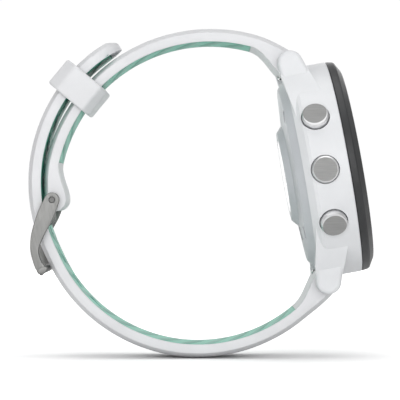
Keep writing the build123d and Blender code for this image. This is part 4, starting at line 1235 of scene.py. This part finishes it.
def make_dial():
    pale = glowing("print_pale", rgb(0.80, 0.84, 0.84), 0.55)
    aqua = glowing("print_aqua", rgb(0.12, 0.70, 0.55), 0.65)
    dim = glowing("print_dim", rgb(0.20, 0.24, 0.26), 0.3)
    pieces = [
        dial_marks("minute_marks", 15.9, 60, 0.7, 0.16, dim),
        dial_marks("hour_marks", 15.6, 12, 1.3, 0.36, pale),
        arc_band("goal_track", GOAL_R, GOAL_W, -GOAL_END, GOAL_END, dim),
        arc_band("goal_arc", GOAL_R, GOAL_W, -GOAL_END, GOAL_DONE, aqua),
        dial_text("clock_hours", "10", 6.4, -3.9, 0.6, pale),
        dial_text("clock_minutes", "08", 6.4, 4.0, 0.6, aqua),
        dial_text("clock_colon", ":", 5.0, 0.05, 0.9, pale),
        dial_text("distance", "6.42", 2.2, 0.0, -5.0, pale),
        dial_text("heart_rate", "128", 2.0, 0.0, 5.9, aqua),
    ]
    for hour in range(1, 13):
        up, right = polar(NUMBER_RING_R, 30 * hour)
        pieces.append(dial_text(f"hour_{hour}", str(hour), 2.5, right, up, pale))
    for piece in pieces:
        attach(piece, "head")


# ---- camera, light and floor ----
CAMERA_PLACE = (0.39, -460.0, -1.55)
FOCAL_LENGTH = 209.7          # for a sensor 36 wide
FLOOR_Z = -32.4
FLOOR_HALF = 6000.0
SOFTBOX = (620, 460)
KEY_POWER = 2.8
FAR_POWER = 1.2
SUN_STRENGTH = 1.05
SUN_SPREAD = 60.0
WORLD_LIGHT = 0.44            # the room as a light, and as the camera sees it
WORLD_SEEN = 1.02
FLOOR_GLOW = 0.36             # lifts the lit floor to the backdrop's white
CONTACT_REACH = 30.0          # painted contact shadow: the floor's glow dims under what is nearer than this


def make_camera():
    lens = bpy.data.cameras.new("camera")
    lens.lens = FOCAL_LENGTH
    lens.sensor_width = 36.0
    lens.clip_start = 0.01
    lens.clip_end = 20.0
    camera = bpy.data.objects.new("camera", lens)
    camera.location = Vector(CAMERA_PLACE) * MM
    camera.rotation_euler = (math.radians(90), 0, 0)
    bpy.context.scene.collection.objects.link(camera)
    bpy.context.scene.camera = camera
    bpy.context.scene.view_settings.view_transform = "Standard"


def area_light(name, place, power):
    """A softbox that faces the middle of the watch."""
    lamp = bpy.data.lights.new(name, "AREA")
    lamp.shape = "RECTANGLE"
    lamp.size, lamp.size_y = (side * MM for side in SOFTBOX)
    lamp.energy = power
    holder = bpy.data.objects.new(name, lamp)
    holder.location = Vector(place) * MM
    aim = -Vector(place).normalized()
    holder.rotation_euler = aim.to_track_quat("-Z", "Y").to_euler()
    bpy.context.scene.collection.objects.link(holder)


def sun_light(name, towards):
    """Soft light from one side of the sky, the same all over the floor."""
    lamp = bpy.data.lights.new(name, "SUN")
    lamp.energy = SUN_STRENGTH
    lamp.angle = math.radians(SUN_SPREAD)
    holder = bpy.data.objects.new(name, lamp)
    holder.rotation_euler = Vector(towards).to_track_quat("-Z", "Y").to_euler()
    bpy.context.scene.collection.objects.link(holder)


def make_stage():
    """A white room: bright to the camera, softer as a light, with a pale floor that carries a painted contact
    shadow.
    """
    world = bpy.data.worlds.new("studio")
    bpy.context.scene.world = world
    world.use_nodes = True
    t = Tree(world.node_tree)
    backdrop = next(n for n in t.tree.nodes if n.type == "BACKGROUND")
    seen = t.add("ShaderNodeLightPath").outputs["Is Camera Ray"]
    backdrop.inputs["Color"].default_value = rgb(1.0, 1.0, 1.0)
    t.put(backdrop.inputs["Strength"], t.span(seen, 0.0, 1.0, WORLD_LIGHT, WORLD_SEEN))
    area_light("key_softbox", (-20, -560, 40), KEY_POWER)
    area_light("far_softbox", (20, 560, 60), FAR_POWER)
    sun_light("overhead", (0.0, 0.05, -1.0))

    material, t, principled = new_material("floor_paper", Roughness=0.9)
    tone = t.noise(object_coordinates(t), 40.0, 3.0)
    paper = t.mix(tone, rgb(0.93, 0.93, 0.93), rgb(0.95, 0.95, 0.95))
    seen = t.add("ShaderNodeLightPath").outputs["Is Camera Ray"]
    t.put(principled.inputs["Base Color"], t.mix(seen, rgb(0.86, 0.86, 0.86), paper))
    principled.inputs["Emission Color"].default_value = rgb(1.0, 1.0, 1.0)
    # painted contact shadow: ambient occlusion fades the camera-only glow near the watch
    open_sky = t.add("ShaderNodeAmbientOcclusion", {"Distance": CONTACT_REACH * MM}, samples=8).outputs["AO"]
    glow = t.math("MULTIPLY", seen, FLOOR_GLOW)
    t.put(principled.inputs["Emission Strength"], t.math("MULTIPLY", glow, t.math("POWER", open_sky, 2.0)))
    side = FLOOR_HALF * MM
    corners = [(-side, -side), (side, -side), (side, side), (-side, side)]
    floor_mesh = bpy.data.meshes.new("floor")
    floor_mesh.from_pydata([(x, y, FLOOR_Z * MM) for x, y in corners], [], [(0, 1, 2, 3)])
    floor_mesh.materials.append(material)
    floor = bpy.data.objects.new("floor", floor_mesh)
    bpy.context.scene.collection.objects.link(floor)


make_camera()
make_stage()
dress_frame()
make_straps()
make_keeper()
make_buckle()
make_springs()
make_lens()
make_dial()
